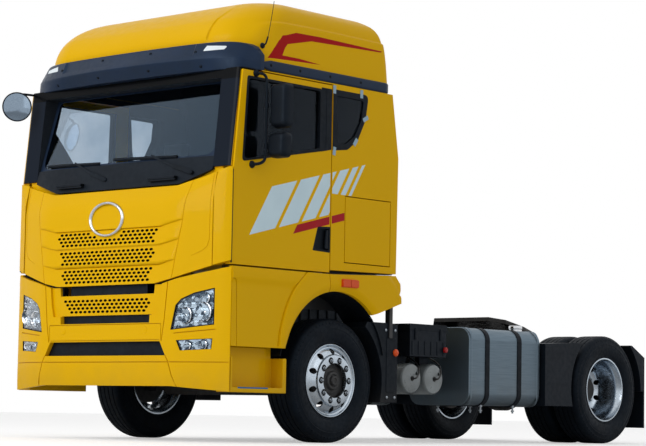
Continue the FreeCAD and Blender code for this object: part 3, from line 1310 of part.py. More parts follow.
def cab_inside():
    wall = ahead("firewall_y - firewall_wall - seat_gap")
    dash = prism("Dash", "YZ_Plane", [
        (wall, "1900"), (wall, "2140"), (ahead("1150"), "2170"), (ahead("880"), "2080"), (ahead("860"), "1900"),
        (ahead("980"), "1800"),
    ], "-1120", "1120")
    wheel = doc.addObject("Part::Torus", "SteeringRing")
    wheel.Radius1, wheel.Radius2 = 215, 16
    wheel.Placement.Rotation = FreeCAD.Rotation(FreeCAD.Vector(1, 0, 0), 25)
    move(wheel, ("600", ahead("800"), "2120"))
    column = doc.addObject("Part::Cylinder", "SteeringColumn")
    column.Radius, column.Height = 40, 330
    column.Placement.Rotation = FreeCAD.Rotation(FreeCAD.Vector(1, 0, 0), 25)
    move(column, ("600", ahead("935"), "1830"))
    spoke = box("SteeringSpoke", ("400", "800"), (ahead("815"), ahead("785")), ("2105", "2135"))
    node("dashboard", fuse("Dashboard", [dash, wheel, column, spoke]))
    floor = "cab_floor + floor_wall + seat_gap"
    seat = prism("Seat", "YZ_Plane", [
        (ahead("600"), floor), (ahead("600"), "1740"), (ahead("700"), "1760"), (ahead("700"), "1880"),
        (ahead("240"), "1860"), (ahead("180"), "2560"), (ahead("60"), "2560"), (ahead("110"), "1740"),
        (ahead("250"), "1700"), (ahead("250"), floor),
    ], "350", "860")
    bunk = box("Bunk", ("-(cab_half - cab_wall - 5)", "cab_half - cab_wall - 5"),
               (behind("hatch_front + 10"), behind("cab_rear - 80")), ("hatch_top + 34 + seat_gap", "hatch_top + 150"))
    node("seats_and_bunk", fuse("SeatsAndBunk", [both_sides("Seats", seat), bunk]))


frame_rails()
crossmembers()
tilt_brackets()
engine_gearbox()
prop_shaft()
front_axle()
knuckles()
all_springs()
rear_axle()
front_wheels()
rear_wheels()
fuel_tanks()
tank_mounts()
air_tanks()
battery_box()
exhaust_box()
radiator()
steps()
arch_panels()
front_mudguards()
rear_mudguards()
fifth_wheel()
cab_shell()
windscreen()
quarter_windows()
cowl_panel()
corner_panels()
roof()
sun_visor()
side_strips()
doors()
door_mirrors()
hatches()
front_flap()
bumper_centre()
bumper_corners()
front_lamps()
small_lamps()
front_mirror()
cab_inside()

doc.recompute()

# Nothing is written unless every object and shape is sound
for thing in doc.Objects:
    if "Invalid" in thing.State or "Error" in thing.State:
        raise RuntimeError("%s (%s) failed: %s" % (thing.Name, thing.Label, thing.State))
for name, piece in nodes.items():
    if piece.Shape.isNull() or not piece.Shape.isValid():
        raise RuntimeError("bad shape: " + name)

os.makedirs("parts", exist_ok=True)
for name, piece in nodes.items():
    piece.Shape.exportStep("parts/%s.step" % name)
print(len(nodes), "nodes written")
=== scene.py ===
# %% [markdown]
# # A two-axle truck tractor unit
#
# This lesson dresses a truck that already has its construction: rails, axles, panels and hinges come
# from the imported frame. Each cell adds what the eye needs: rolled panel edges, pressed steps, lamps
# with reflectors, tread, seals, and finishes that behave like paint, cast iron, rubber and glass.
# All places below are in millimetres: across, behind the front axle, and above the ground.

# %% Load the frame
import json
import math

import bmesh
import bpy
from mathutils import Matrix, Vector


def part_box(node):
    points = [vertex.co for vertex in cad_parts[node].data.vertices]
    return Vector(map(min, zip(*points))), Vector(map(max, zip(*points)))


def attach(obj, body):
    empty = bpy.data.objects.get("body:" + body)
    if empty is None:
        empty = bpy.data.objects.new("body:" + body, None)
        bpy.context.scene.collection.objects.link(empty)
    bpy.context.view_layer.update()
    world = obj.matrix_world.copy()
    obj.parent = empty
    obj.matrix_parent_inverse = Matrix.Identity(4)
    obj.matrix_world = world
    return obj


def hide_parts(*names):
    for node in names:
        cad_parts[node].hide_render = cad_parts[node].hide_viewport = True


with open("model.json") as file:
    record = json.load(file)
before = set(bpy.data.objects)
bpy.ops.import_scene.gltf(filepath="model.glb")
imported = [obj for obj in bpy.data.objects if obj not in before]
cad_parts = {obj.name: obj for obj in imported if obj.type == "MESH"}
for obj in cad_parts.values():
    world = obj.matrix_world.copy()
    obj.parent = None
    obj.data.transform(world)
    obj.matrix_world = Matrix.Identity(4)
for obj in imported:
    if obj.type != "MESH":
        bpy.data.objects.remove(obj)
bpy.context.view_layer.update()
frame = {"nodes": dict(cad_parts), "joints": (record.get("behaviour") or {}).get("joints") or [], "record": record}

joints = {joint["name"]: joint for joint in frame["joints"]}
FRONT_AXLE = joints["left_steer"]["pos_m"][1]
REAR_AXLE = joints["rear_left_spin"]["pos_m"][1]
WHEELBASE = (REAR_AXLE - FRONT_AXLE) * 1000
AXLE_HEIGHT = joints["rear_left_spin"]["pos_m"][2] * 1000
print("wheelbase", round(WHEELBASE), "mm")


def at(across, behind, height):
    """A place in millimetres, measured from the front axle, as metres in the frame."""
    return Vector((across / 1000, FRONT_AXLE + behind / 1000, height / 1000))


# %% [markdown]
# ## Small helpers
#
# A mesh is collected in a bmesh, closed, given one material and linked. Modifiers such as Bevel are
# applied at once, so that each piece is a plain mesh. One function adds any node to any tree.

# %% Helpers for meshes
def linked(name, shape, *finishes):
    """Turn a bmesh into an object of the scene."""
    mesh = bpy.data.meshes.new(name)
    shape.to_mesh(mesh)
    shape.free()
    for finish in finishes:
        mesh.materials.append(finish)
    piece = bpy.data.objects.new(name, mesh)
    bpy.context.scene.collection.objects.link(piece)
    return piece


def settled(piece):
    """Replace a piece's mesh by what its modifiers make of it."""
    graph = bpy.context.evaluated_depsgraph_get()
    mesh = bpy.data.meshes.new_from_object(piece.evaluated_get(graph), preserve_all_data_layers=True,
            depsgraph=graph)
    piece.modifiers.clear()
    piece.data = mesh
    return piece


def softened(piece, width, segments=2, angle=32):
    """Roll the edges sharper than an angle over a few millimetres and keep flat faces flat."""
    if width:
        bevel = piece.modifiers.new("Rolled edge", "BEVEL")
        bevel.width = width / 1000
        bevel.segments = segments
        bevel.limit_method = "ANGLE"
        bevel.angle_limit = math.radians(angle)
        bevel.miter_outer = "MITER_ARC"
    settled(piece)
    piece.data.shade_smooth()
    piece.data.set_sharp_from_angle(angle=math.radians(50))
    weigh = piece.modifiers.new("Flat faces", "WEIGHTED_NORMAL")
    weigh.keep_sharp = True
    return settled(piece)


def discarded(piece):
    """Remove an object that was only a tool."""
    mesh = piece.data
    bpy.data.objects.remove(piece)
    bpy.data.meshes.remove(mesh)


def carved(piece, *tools, operation="DIFFERENCE", faces="INDEX"):
    """Cut tools out of a piece, or join them to it, one after the other."""
    for tool in tools:
        change = piece.modifiers.new("Carve", "BOOLEAN")
        change.operation = operation
        change.solver = "EXACT"
        change.material_mode = faces
        change.object = tool
        settled(piece)
        discarded(tool)
    return piece


def punch(corners, low=-60, high=90):
    """A cutter: an outline on the front view, from low to high behind the flat face."""
    return linked("punch", drawn(solid, corners, low, high, axis="y"))


def sliced(shape, normal, places):
    """Cut a mesh by parallel planes, so that it can be bent afterwards; places are in metres."""
    for place in places:
        everything = shape.verts[:] + shape.edges[:] + shape.faces[:]
        bmesh.ops.bisect_plane(shape, geom=everything, plane_co=Vector(normal) * place,
                plane_no=normal, dist=1e-6)


def share_of(value):
    """A value held between 0 and 1."""
    return min(1.0, max(0.0, value))


def even(low, high, step):
    """Evenly spaced numbers from low to high."""
    count = max(1, round(abs(high - low) / step))
    return [low + (high - low) * i / count for i in range(count + 1)]


def along(points, at_value):
    """Read a smooth curve through points (place, value)."""
    if at_value <= points[0][0]:
        return points[0][1]
    for i in range(len(points) - 1):
        (x0, y0), (x1, y1) = points[i], points[i + 1]
        if at_value <= x1:
            before = points[max(0, i - 1)]
            after = points[min(len(points) - 1, i + 2)]
            s0 = (y1 - before[1]) / (x1 - before[0])
            s1 = (after[1] - y0) / (after[0] - x0)
            t = (at_value - x0) / (x1 - x0)
            w = x1 - x0
            return ((2 * t ** 3 - 3 * t ** 2 + 1) * y0 + (t ** 3 - 2 * t ** 2 + t) * w * s0
                    + (3 * t ** 2 - 2 * t ** 3) * y1 + (t ** 3 - t ** 2) * w * s1)
    return points[-1][1]


def mirrored_outline(half):
    """Complete an outline given for one side, from the middle's bottom to its top."""
    return half + [(-x, z) for x, z in reversed(half) if x > 0]


def handed(piece, body, slot, *nodes):
    """Give a finished piece to the body that carries it."""
    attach(piece, body)
    if nodes:
        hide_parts(*nodes)
    print("%s: %d faces" % (piece.name, len(piece.data.polygons)))
    return piece


def opened(piece):
    """A bmesh that holds a piece's mesh."""
    shape = bmesh.new()
    shape.from_mesh(piece.data)
    return shape


def put_back(shape, piece):
    """Write a bmesh back into its piece."""
    shape.to_mesh(piece.data)
    shape.free()
    return piece


def finished(name, shape, finish, body, slot, *nodes, roll=0.0, angle=32):
    """Link a shape, roll its edges and give it to the body that carries it."""
    return handed(softened(linked(name, shape, finish), roll, angle=angle), body, slot, *nodes)


def skinned(shape, places, capped=True, joined=False):
    """Faces between rows of places, with closed ends, or with the last row joined to the first."""
    rows = [[shape.verts.new(place) for place in row] for row in places]
    faces = [shape.faces.new(rows[0]), shape.faces.new(rows[-1])] if capped else []
    for first, second in zip(rows, rows[1:] + rows[:1] if joined else rows[1:]):
        for i in range(len(first)):
            j = (i + 1) % len(first)
            faces.append(shape.faces.new((first[i], first[j], second[j], second[i])))
    if capped or joined:
        bmesh.ops.recalc_face_normals(shape, faces=faces)
    return rows


def solid(shape, corners, low, high, axis="x"):
    """A prism in a bmesh. Corners are pairs on the two other axes, in millimetres."""
    order = {"x": (2, 0, 1), "y": (0, 2, 1), "z": (0, 1, 2)}[axis]
    ends = [[(a, b, depth) for a, b in corners] for depth in (low, high)]
    skinned(shape, [[at(*[spot[i] for i in order]) for spot in end] for end in ends])


def drawn(make, *settings, **named):
    """A new bmesh with what a function draws into it."""
    shape = bmesh.new()
    make(shape, *settings, **named)
    return shape


def heading(turn):
    """A direction on the side view, from an angle in degrees."""
    return Vector((math.cos(math.radians(turn)), math.sin(math.radians(turn))))


def block(shape, x, a, z):
    """A box in a bmesh, from its limits in millimetres."""
    solid(shape, [(a[0], z[0]), (a[1], z[0]), (a[1], z[1]), (a[0], z[1])], x[0], x[1])


def turned(shape, profile, centre, direction, steps=48):
    """Turn a profile of (along, radius) pairs about an axis through a centre, in millimetres."""
    axis = Vector(direction).normalized()
    side = axis.orthogonal().normalized()
    other = axis.cross(side)
    rings = []
    for i in range(steps):
        angle = math.tau * i / steps
        out = side * math.cos(angle) + other * math.sin(angle)
        rings.append([centre + (axis * along + out * radius) / 1000 for along, radius in profile])
    verts = [[shape.verts.new(p) for p in ring] for ring in rings]
    for i, here in enumerate(verts):
        there = verts[(i + 1) % steps]
        for j in range(len(profile) - 1):
            shape.faces.new((here[j], here[j + 1], there[j + 1], there[j]))
    bmesh.ops.remove_doubles(shape, verts=[v for ring in verts for v in ring], dist=1e-6)


def closed_up(shape):
    """Merge doubles, drop faces with no area and turn all faces outwards."""
    bmesh.ops.remove_doubles(shape, verts=shape.verts, dist=1e-6)
    bmesh.ops.dissolve_degenerate(shape, edges=shape.edges, dist=1e-6)
    bmesh.ops.recalc_face_normals(shape, faces=shape.faces)
    return shape


def pipe(shape, points, radius, sides=12):
    """A round tube with closed ends along points in millimetres, with its corners rounded by a spline."""
    curve = bpy.data.curves.new("Path", "CURVE")
    curve.dimensions = "3D"
    curve.bevel_depth = radius / 1000
    curve.bevel_resolution = max(1, sides // 4 - 1)
    curve.resolution_u = 6
    curve.use_fill_caps = True
    spline = curve.splines.new("NURBS")
    spline.points.add(len(points) - 1)
    for point, place in zip(spline.points, points):
        point.co = (*at(*place), 1)
    spline.order_u = 3
    spline.use_endpoint_u = True
    path = bpy.data.objects.new("Path", curve)
    bpy.context.scene.collection.objects.link(path)
    graph = bpy.context.evaluated_depsgraph_get()
    mesh = bpy.data.meshes.new_from_object(path.evaluated_get(graph))
    shape.from_mesh(mesh)
    bpy.data.objects.remove(path)
    bpy.data.meshes.remove(mesh)
    bpy.data.curves.remove(curve)


def both(shape):
    """Add the mirror image of everything in a bmesh, across the middle of the truck."""
    copy = bmesh.ops.duplicate(shape, geom=shape.verts[:] + shape.edges[:] + shape.faces[:])["geom"]
    verts = [item for item in copy if isinstance(item, bmesh.types.BMVert)]
    faces = [item for item in copy if isinstance(item, bmesh.types.BMFace)]
    for vert in verts:
        vert.co.x = -vert.co.x
    bmesh.ops.reverse_faces(shape, faces=faces)
    return shape


# %% Helper for nodes
def add(tree, kind, links=None, **settings):
    """Add one node with its settings; links maps its inputs to values or to other nodes' sockets."""
    made = tree.nodes.new(kind)
    for name, setting in settings.items():
        setattr(made, name, setting)
    for name, source in (links or {}).items():
        socket = made.inputs[name]
        if isinstance(source, bpy.types.NodeSocket):
            tree.links.new(source, socket)
        else:
            socket.default_value = source
    return made


def colour(code):
    """A hex colour, as it looks on a screen, turned to linear light."""
    parts = [int(code[i:i + 2], 16) / 255 for i in (1, 3, 5)]
    return (*[p / 12.92 if p <= 0.04045 else ((p + 0.055) / 1.055) ** 2.4 for p in parts], 1)


# %% [markdown]
# ## Finishes
#
# Every finish starts from a plain shader with typical values, and gets the things that make it
# believable at this scale: dust that settles low, a slow drift of tone, grain or brushing.

# %% Start a finish
def finish_named(name, **shader):
    """A new material: its tree, its main shader and its object coordinates."""
    material = bpy.data.materials.new(name)
    material.use_nodes = True
    tree = material.node_tree
    main = tree.nodes["Principled BSDF"]
    for socket, setting in shader.items():
        main.inputs[socket.replace("_", " ")].default_value = setting
    place = add(tree, "ShaderNodeTexCoord").outputs["Object"]
    return material, tree, main, place


def noise(tree, place, size, detail=3.0, stretch=(1, 1, 1)):
    """Soft noise whose spots are about a size in millimetres."""
    scaled = add(tree, "ShaderNodeMapping", {"Vector": place, "Scale": stretch})
    return add(tree, "ShaderNodeTexNoise", {"Vector": scaled.outputs["Vector"], "Scale": 1000 / size,
                                            "Detail": detail}).outputs["Fac"]


def spread(tree, source, low, high, start=0.35, end=0.65):
    """Map a noise to a range."""
    return add(tree, "ShaderNodeMapRange", {"Value": source, "From Min": start, "From Max": end,
                                            "To Min": low, "To Max": high}).outputs["Result"]


def mixed(tree, share, first, second):
    """One colour over another, by a share that may be a socket."""
    node = add(tree, "ShaderNodeMix", data_type="RGBA")
    for index, source in ((0, share), (6, first), (7, second)):
        if isinstance(source, bpy.types.NodeSocket):
            tree.links.new(source, node.inputs[index])
        else:
            node.inputs[index].default_value = source
    return node.outputs[2]


def low_dust(tree, place, reach):
    """A share that grows towards the ground, broken up by noise."""
    height = add(tree, "ShaderNodeSeparateXYZ", {"Vector": place}).outputs["Z"]
    fade = add(tree, "ShaderNodeMapRange", {"Value": height, "From Min": 0.05, "From Max": reach,
                                            "To Min": 0.36, "To Max": 0.0}).outputs["Result"]
    patches = spread(tree, noise(tree, place, 180, 5), 0.3, 1.0)
    return figured(tree, "MULTIPLY", fade, patches)


def figured(tree, operation, first, second=0.0, third=0.0):
    """The result of a sum on up to three values."""
    return add(tree, "ShaderNodeMath", {0: first, 1: second, 2: third}, operation=operation).outputs[0]


def fed(tree, main, base, rough=None):
    """Give a shader its colour, and its roughness where that varies."""
    tree.links.new(base, main.inputs["Base Color"])
    if rough is not None:
        tree.links.new(rough, main.inputs["Roughness"])


def bumped(tree, main, source, strength, depth):
    """Push the shading in and out; depth is in millimetres."""
    bump = add(tree, "ShaderNodeBump", {"Height": source, "Strength": strength, "Distance": depth / 1000})
    tree.links.new(bump.outputs["Normal"], main.inputs["Normal"])


# %% [markdown]
# Sprayed acrylic enamel on steel: a strong warm yellow under a clear coat. The coat gives the sharp
# reflection, and the colour below stays a little rough. The dark parts of the same sprayed cab, such
# as the screen pillars, are one shader with a mask, because the real mask is also only tape and paint.
# The near-black band under the visor is painted shade in the same shader: the visor's shadow on the header.

# %% Sprayed enamel
ENAMEL = "#E0AE00"
PILLAR = "#121A26"
STRIPE = "#A51414"


def half_plane(tree, across, up, point, normal):
    """1 on the side of a line that its normal points to, with the line through a point."""
    total = figured(tree, "MULTIPLY", across, normal[0])
    total = figured(tree, "MULTIPLY_ADD", up, normal[1], total)
    return figured(tree, "GREATER_THAN", total, point[0] * normal[0] + point[1] * normal[1])


def inside(tree, place, corners):
    """A mask that is 1 inside a convex outline on the side view; corners are (behind, height)."""
    parts = add(tree, "ShaderNodeSeparateXYZ", {"Vector": place})
    points = [at(0, a, z) for a, z in corners]
    middle = sum(points, Vector()) / len(points)
    mask = None
    for first, second in zip(points, points[1:] + points[:1]):
        along = second - first
        normal = Vector((0, -along.z, along.y))
        if normal.dot(middle - first) < 0:
            normal = -normal
        side = half_plane(tree, parts.outputs["Y"], parts.outputs["Z"], (first.y, first.z),
                          (normal.y, normal.z))
        if mask is not None:
            side = figured(tree, "MULTIPLY", mask, side)
        mask = side
    return mask


def sprayed_enamel(name, areas=()):
    """Yellow enamel, with convex areas of other colours on the side view."""
    material, tree, main, place = finish_named(name, Roughness=0.42, Coat_Weight=0.08, Coat_Roughness=0.05,
                                               Specular_IOR_Level=0.03)
    tone = spread(tree, noise(tree, place, 900, 2), 0.0, 0.16)
    base = mixed(tree, tone, colour(ENAMEL), colour("#E4B40A"))
    for code, corners in areas:
        base = mixed(tree, inside(tree, place, corners), base, colour(code))
    base = mixed(tree, low_dust(tree, place, 0.75), base, colour("#8D7A45"))
    fed(tree, main, base, spread(tree, noise(tree, place, 60, 4), 0.34, 0.46))
    return material


yellow = sprayed_enamel("sprayed_yellow_enamel")
cab_yellow = sprayed_enamel("sprayed_enamel_with_dark_pillars", [
    (PILLAR, [(-1500, 2131), (-1301, 2131), (-1215, 2930), (-1500, 2930)]),
    # painted shade: this near-black band stands for the shadow that the visor casts on the header
    ("#07090C", [(-1500, 2826), (-1000, 2826), (-1000, 2930), (-1500, 2930)]),
])
roof_yellow = sprayed_enamel("sprayed_enamel_with_red_stripe", [
    (STRIPE, [(-915, 3022), (-800, 3180), (-700, 3190), (-775, 3030)]),
    (STRIPE, [(-860, 3100), (-760, 3222), (-620, 3250), (-700, 3160), (-775, 3040)]),
    (STRIPE, [(-770, 3215), (-600, 3266), (-300, 3272), (-420, 3222), (-700, 3160)]),
    (STRIPE, [(-420, 3222), (-330, 3272), (462, 3262), (440, 3250)]),
    (STRIPE, [(-915, 3022), (-860, 3062), (-560, 3062), (-300, 3046), (-560, 3036)]),
])


# %% [markdown]
# Moulded plastic: the visor and strips are satin blue-grey, and the steps, guards and mirror
# shells are a duller black with a fine leather-like grain, which spreads the highlight.

# %% Moulded plastics
def moulded_plastic(name, code, roughness, grain, dusty=0.0, shade="#1A222C"):
    material, tree, main, place = finish_named(name, Specular_IOR_Level=0.2,
            Specular_Tint=colour("#B4CDEA"))
    base = mixed(tree, spread(tree, noise(tree, place, 250, 3), 0, 0.35), colour(code), colour(shade))
    if dusty:
        base = mixed(tree, low_dust(tree, place, dusty), base, colour("#6F665A"))
    fed(tree, main, base, spread(tree, noise(tree, place, 40, 4), roughness - 0.06, roughness + 0.08))
    bumped(tree, main, noise(tree, place, grain, 2), 0.25, 0.4)
    return material


visor_plastic = moulded_plastic("satin_painted_visor", "#1C2A40", 0.36, 9)
black_plastic = moulded_plastic("grained_black_plastic", "#0B0E13", 0.5, 4, shade="#141A21")
guard_plastic = moulded_plastic("dusty_black_mudguard_plastic", "#090C10", 0.55, 6, 0.5, shade="#11161C")
rubber_seal = moulded_plastic("extruded_rubber_seal", "#0C0D0F", 0.6, 3)
mesh_plastic = moulded_plastic("dark_grille_plastic", "#0A0B0C", 0.55, 4)


# %% [markdown]
# Metals: the rails are electro-coated dark grey, castings are rougher, and springs are bare dark steel.
# The fuel tank is brushed along its length, so its noise is stretched that way. The wheels are forged
# and polished aluminium, which is brushed round the axle by the lathe.

# %% Metals
def coated_metal(name, code, roughness, grain, depth, dusty=0.9, metallic=0.0):
    material, tree, main, place = finish_named(name, Metallic=metallic)
    base = mixed(tree, spread(tree, noise(tree, place, 300, 4), 0, 0.5), colour(code), colour("#2C2D2F"))
    base = mixed(tree, low_dust(tree, place, dusty), base, colour("#3F3E3D"))
    fed(tree, main, base, spread(tree, noise(tree, place, 50, 5), roughness - 0.08, roughness + 0.12))
    bumped(tree, main, noise(tree, place, grain, 4), 0.35, depth)
    return material


rail_coat = coated_metal("electro_coated_rail_steel", "#17191C", 0.45, 14, 0.4)
cast_iron = coated_metal("painted_cast_iron", "#1D1E20", 0.62, 6, 1.2)
spring_steel = coated_metal("shot_peened_spring_steel", "#232426", 0.5, 4, 0.6, metallic=0.6)
strap_steel = coated_metal("powder_coated_strap", "#0B0C0E", 0.42, 8, 0.3)
air_tank_paint = coated_metal("grey_air_tank_paint", "#8E9699", 0.35, 20, 0.3, dusty=0.6)
coupling_steel = coated_metal("greased_coupling_steel", "#1B1A19", 0.3, 10, 0.8, metallic=0.7)


def brushed_aluminium(name, code, stretch, roughness, shade="#9AA1A8"):
    material, tree, main, place = finish_named(name, Metallic=1.0)
    lines = noise(tree, place, 6, 4, stretch)
    base = mixed(tree, spread(tree, lines, 0, 0.6), colour(code), colour(shade))
    base = mixed(tree, low_dust(tree, place, 0.8), base, colour("#6B655C"))
    fed(tree, main, base, spread(tree, lines, roughness - 0.05, roughness + 0.1))
    bumped(tree, main, lines, 0.05, 0.1)
    return material


tank_aluminium = brushed_aluminium("brushed_tank_aluminium", "#687884", (1, 0.03, 1), 0.44, "#61717D")
wheel_aluminium = brushed_aluminium("polished_wheel_aluminium", "#C6D0DA", (0.3, 1, 1), 0.2, "#8FA0B0")
bright_metal = brushed_aluminium("bright_plated_steel", "#E3E5E8", (1, 1, 1), 0.12)
silvered_glass = brushed_aluminium("silvered_mirror_glass", "#8C9CAC", (1, 1, 1), 0.08, "#6A7A8B")
plated_nut = brushed_aluminium("zinc_plated_nut", "#9DA6AF", (1, 1, 1), 0.35, "#6C747C")


def metallised_facets(name, bright, dark, size):
    """Aluminium vapour on moulded facets of a size in millimetres; each facet's colour is a painted reflection of
    bright sky or dark ground.
    """
    material, tree, main, place = finish_named(name, Metallic=1.0, Roughness=0.1)
    cells = add(tree, "ShaderNodeTexVoronoi", {"Vector": place, "Scale": 1000 / size}).outputs["Color"]
    share = add(tree, "ShaderNodeSeparateColor", {"Color": cells}).outputs["Red"]
    fed(tree, main, mixed(tree, spread(tree, share, 0, 1, 0.25, 0.8), colour(bright), colour(dark)))
    bumped(tree, main, share, 0.5, 2.0)
    return material


# The bowls and the housings carry painted reflections in the colours of their facets.
reflector_metal = metallised_facets("metallised_reflector", "#F6FAFF", "#46535F", 17)
housing_metal = metallised_facets("metallised_housing", "#C2D0DC", "#36424D", 30)


# %% [markdown]
# Tyre rubber is nearly black with a grey bloom. Window glass is tinted and thin, so it is a
# glass shader with little bending, and it darkens the cab behind it. Lamp lenses are clear polycarbonate.

# %% Rubber, glass and lenses
def tyre_rubber():
    material, tree, main, place = finish_named("carbon_black_tyre_rubber", Specular_IOR_Level=0.16,
                                               Specular_Tint=colour("#B4CDEA"))
    bloom = spread(tree, noise(tree, place, 120, 6), 0, 0.7)
    base = mixed(tree, bloom, colour("#080B10"), colour("#0F151C"))
    fed(tree, main, base, spread(tree, noise(tree, place, 25, 4), 0.5, 0.68))
    bumped(tree, main, noise(tree, place, 5, 3), 0.2, 0.4)
    return material


def clear_glass(name, code, gloss=0.3, tint="#A9C6E6", bending=1.45):
    """Tinted glass. Side panes bend light little, as a white studio mirrors more than a street does."""
    material, tree, main, place = finish_named(name, IOR=bending, Roughness=0.0, Transmission_Weight=1.0,
                                               Specular_IOR_Level=gloss, Specular_Tint=colour(tint))
    smear = spread(tree, noise(tree, place, 400, 3), 0, 0.25)
    fed(tree, main, mixed(tree, smear, colour(code), colour("#FFFFFF")))
    return material


def lens_plastic(name, code, light):
    material, tree, main, place = finish_named(name, Roughness=0.2, Specular_IOR_Level=0.3)
    ribs = add(tree, "ShaderNodeTexWave", {"Vector": place, "Scale": 60.0, "Distortion": 0.0},
               bands_direction="Z")
    fed(tree, main, mixed(tree, ribs.outputs["Fac"], colour(code), colour(light)))
    bumped(tree, main, ribs.outputs["Fac"], 0.5, 1.0)
    return material


rubber = tyre_rubber()
window_glass = clear_glass("tinted_side_glass", "#B4C0CA", gloss=0.05, bending=1.2)
screen_glass = clear_glass("laminated_windscreen", "#B8C8D8", gloss=0.5, tint="#A6D6FF", bending=1.5)
lens_glass = clear_glass("clear_polycarbonate_lens", "#F4F7FA")
amber_lens = lens_plastic("amber_lens", "#C22E04", "#F2641A")
red_lens = lens_plastic("red_lens", "#6E0606", "#B51414")


def seat_cloth():
    material, tree, main, place = finish_named("woven_seat_cloth", Roughness=0.9, Sheen_Weight=0.3)
    weave = add(tree, "ShaderNodeTexWave",
                {"Vector": place, "Scale": 90.0, "Distortion": 2.0}).outputs["Fac"]
    fed(tree, main, mixed(tree, weave, colour("#1A1B1E"), colour("#2B2D31")))
    bumped(tree, main, weave, 0.5, 1.0)
    return material


cloth = seat_cloth()
cab_lining = moulded_plastic("grey_cab_lining", "#23272C", 0.7, 8)
silver_film = moulded_plastic("silver_vinyl_film", "#CDE4EE", 0.4, 12, shade="#BDD4E0")
red_film = moulded_plastic("red_vinyl_film", "#A81016", 0.4, 12, shade="#8E0C12")
white_lens = moulded_plastic("frosted_white_lens", "#E4ECF0", 0.3, 10, shade="#C4D0D8")
blue_film = moulded_plastic("blue_protective_film", "#2F6FA8", 0.4, 5, shade="#245A8C")
blue_tape = moulded_plastic("pale_blue_tape", "#9CB6C6", 0.6, 5, shade="#86A2B4")


# %% [markdown]
# ## Dressed parts
#
# Many parts of the frame have the right shape, and only lack what a press, a mould or a file gives:
# a rolled edge. Each is copied, its triangles are joined to flat faces again, and its edges are
# bevelled by the few millimetres of the real sheet or casting.

# %% Copy parts with rolled edges
def dressed(node, finish, slot, body, width):
    """A copy of a frame node with rolled edges, which then stands for it."""
    shape = bmesh.new()
    shape.from_mesh(frame["nodes"][node].data)
    bmesh.ops.remove_doubles(shape, verts=shape.verts, dist=2e-5)
    bmesh.ops.dissolve_limit(shape, angle_limit=math.radians(0.8), verts=shape.verts, edges=shape.edges)
    return finished(node + "_dressed", shape, finish, body, slot, node, roll=width)


WINDOW_SPANS = ((-1200, -290), (-135, 275))
WINDOW_HEIGHTS = (2180, 2852)
CAB_LINING = (1.176, 1.43, 2.915)
LINING_FRONT, LINING_REAR = -1226, 612


def blackened(piece):
    """Give the edges of the window openings in the sides a black finish, as the rubber there has."""
    piece.data.materials.append(rubber_seal)
    last = len(piece.data.materials) - 1
    for face in piece.data.polygons:
        a, z = (face.center.y - FRONT_AXLE) * 1000, face.center.z * 1000
        level = WINDOW_HEIGHTS[0] < z < WINDOW_HEIGHTS[1] and any(low < a < high for low,
                high in WINDOW_SPANS)
        if level and abs(face.normal.x) < 0.6 and abs(face.center.x) > 1.15:
            face.material_index = last


def lined(piece):
    """Give the faces that look into the cab a dark lining."""
    piece.data.materials.append(cab_lining)
    half, low, high = CAB_LINING
    front, rear = at(0, LINING_FRONT, 0).y, at(0, LINING_REAR, 0).y
    for face in piece.data.polygons:
        place, out = face.center, face.normal
        within = abs(place.x) < half and front < place.y < rear and low < place.z < high
        under = place.z >= 2.87 and out.dot(place - Vector((0, at(0, -250, 0).y, 3.1))) < 0
        behind_screen = at(0, -1330, 0).y < place.y < rear
        reveal = abs(place.x) < 1.06 and place.z > 2.1 and behind_screen and abs(out.y) < 0.6
        if within or under or (reveal and piece.name.startswith("cab_shell")):
            face.material_index = 1


bodies = frame["record"]["behaviour"]["bodies"]
body_of_node = {node: body for body, nodes in bodies.items() for node in nodes}
slot_of_node = {part["node"]: part["material_slot"] for part in frame["record"]["subparts"]}
finish_of_slot = {
    "body_paint": yellow, "door_paint": yellow, "dark_trim": visor_plastic, "grille_plastic": yellow,
    "black_plastic": black_plastic, "frame_paint": rail_coat, "cast_metal": cast_iron,
    "spring_steel": spring_steel, "tank_aluminium": tank_aluminium, "wheel_aluminium": wheel_aluminium,
    "strap_steel": strap_steel, "air_tank_paint": air_tank_paint, "tyre_rubber": rubber,
    "window_glass": window_glass, "lamp_lens": lens_glass, "amber_lens": amber_lens, "red_lens": red_lens,
    "seat_fabric": cloth, "coupling_steel": coupling_steel,
}
edge_widths = {
    "frame_rails": 2, "crossmembers": 2, "tilt_brackets": 2, "engine_gearbox": 18, 
    "front_axle": 8, "front_springs": 2, "rear_springs": 2, "rear_axle": 4, "tank_mounts": 1.5,
    "battery_box": 6, "exhaust_box": 4, "steps": 10, "rear_mudguards": 6,
    "fifth_wheel_base": 4, "fifth_wheel_plate": 5, "knuckle_left": 4, "knuckle_right": 4,
    "radiator": 4,
}
special = {"cab_shell": cab_yellow, "tank_mounts": rubber_seal, "windscreen": screen_glass}
own_pieces = {"marker_lamps", "front_flap", "bumper_centre", "bumper_corners", "front_lamps",
              "side_strips", "arch_panels",
              "front_mudguards", "roof", "sun_visor", "dashboard", "seats_and_bunk", "front_mirror"}
own_pieces |= {name + side for name in ("mirror", "tyre_front", "tyres_rear", "wheel_front", "wheels_rear")
               for side in ("_left", "_right")}
for node, body in body_of_node.items():
    if node in own_pieces:
        continue
    finish = special.get(node, finish_of_slot[slot_of_node[node]])
    piece = dressed(node, finish, slot_of_node[node], body, edge_widths.get(node, 3.0))
    if node == "cab_shell":
        lined(piece)
    if node in ("cab_shell", "door_left", "door_right"):
        blackened(piece)


# %% [markdown]
# ## The front flap
#
# The flap is one pressed steel sheet: three overlapping slats with rows of oval holes, a top that
# leans back to the windscreen, and sides that sweep round to the doors. It is made flat first, like
# the blank in the press. The holes are punched, then the blank is sliced and bent to its shape.

# %% The flap's shape
FLAP_PLAN = [(0, 1458), (560, 1458), (730, 1456), (850, 1436), (980, 1402), (1110, 1368)]
FLAP_FOLDS = (1676, 1531, 1379)


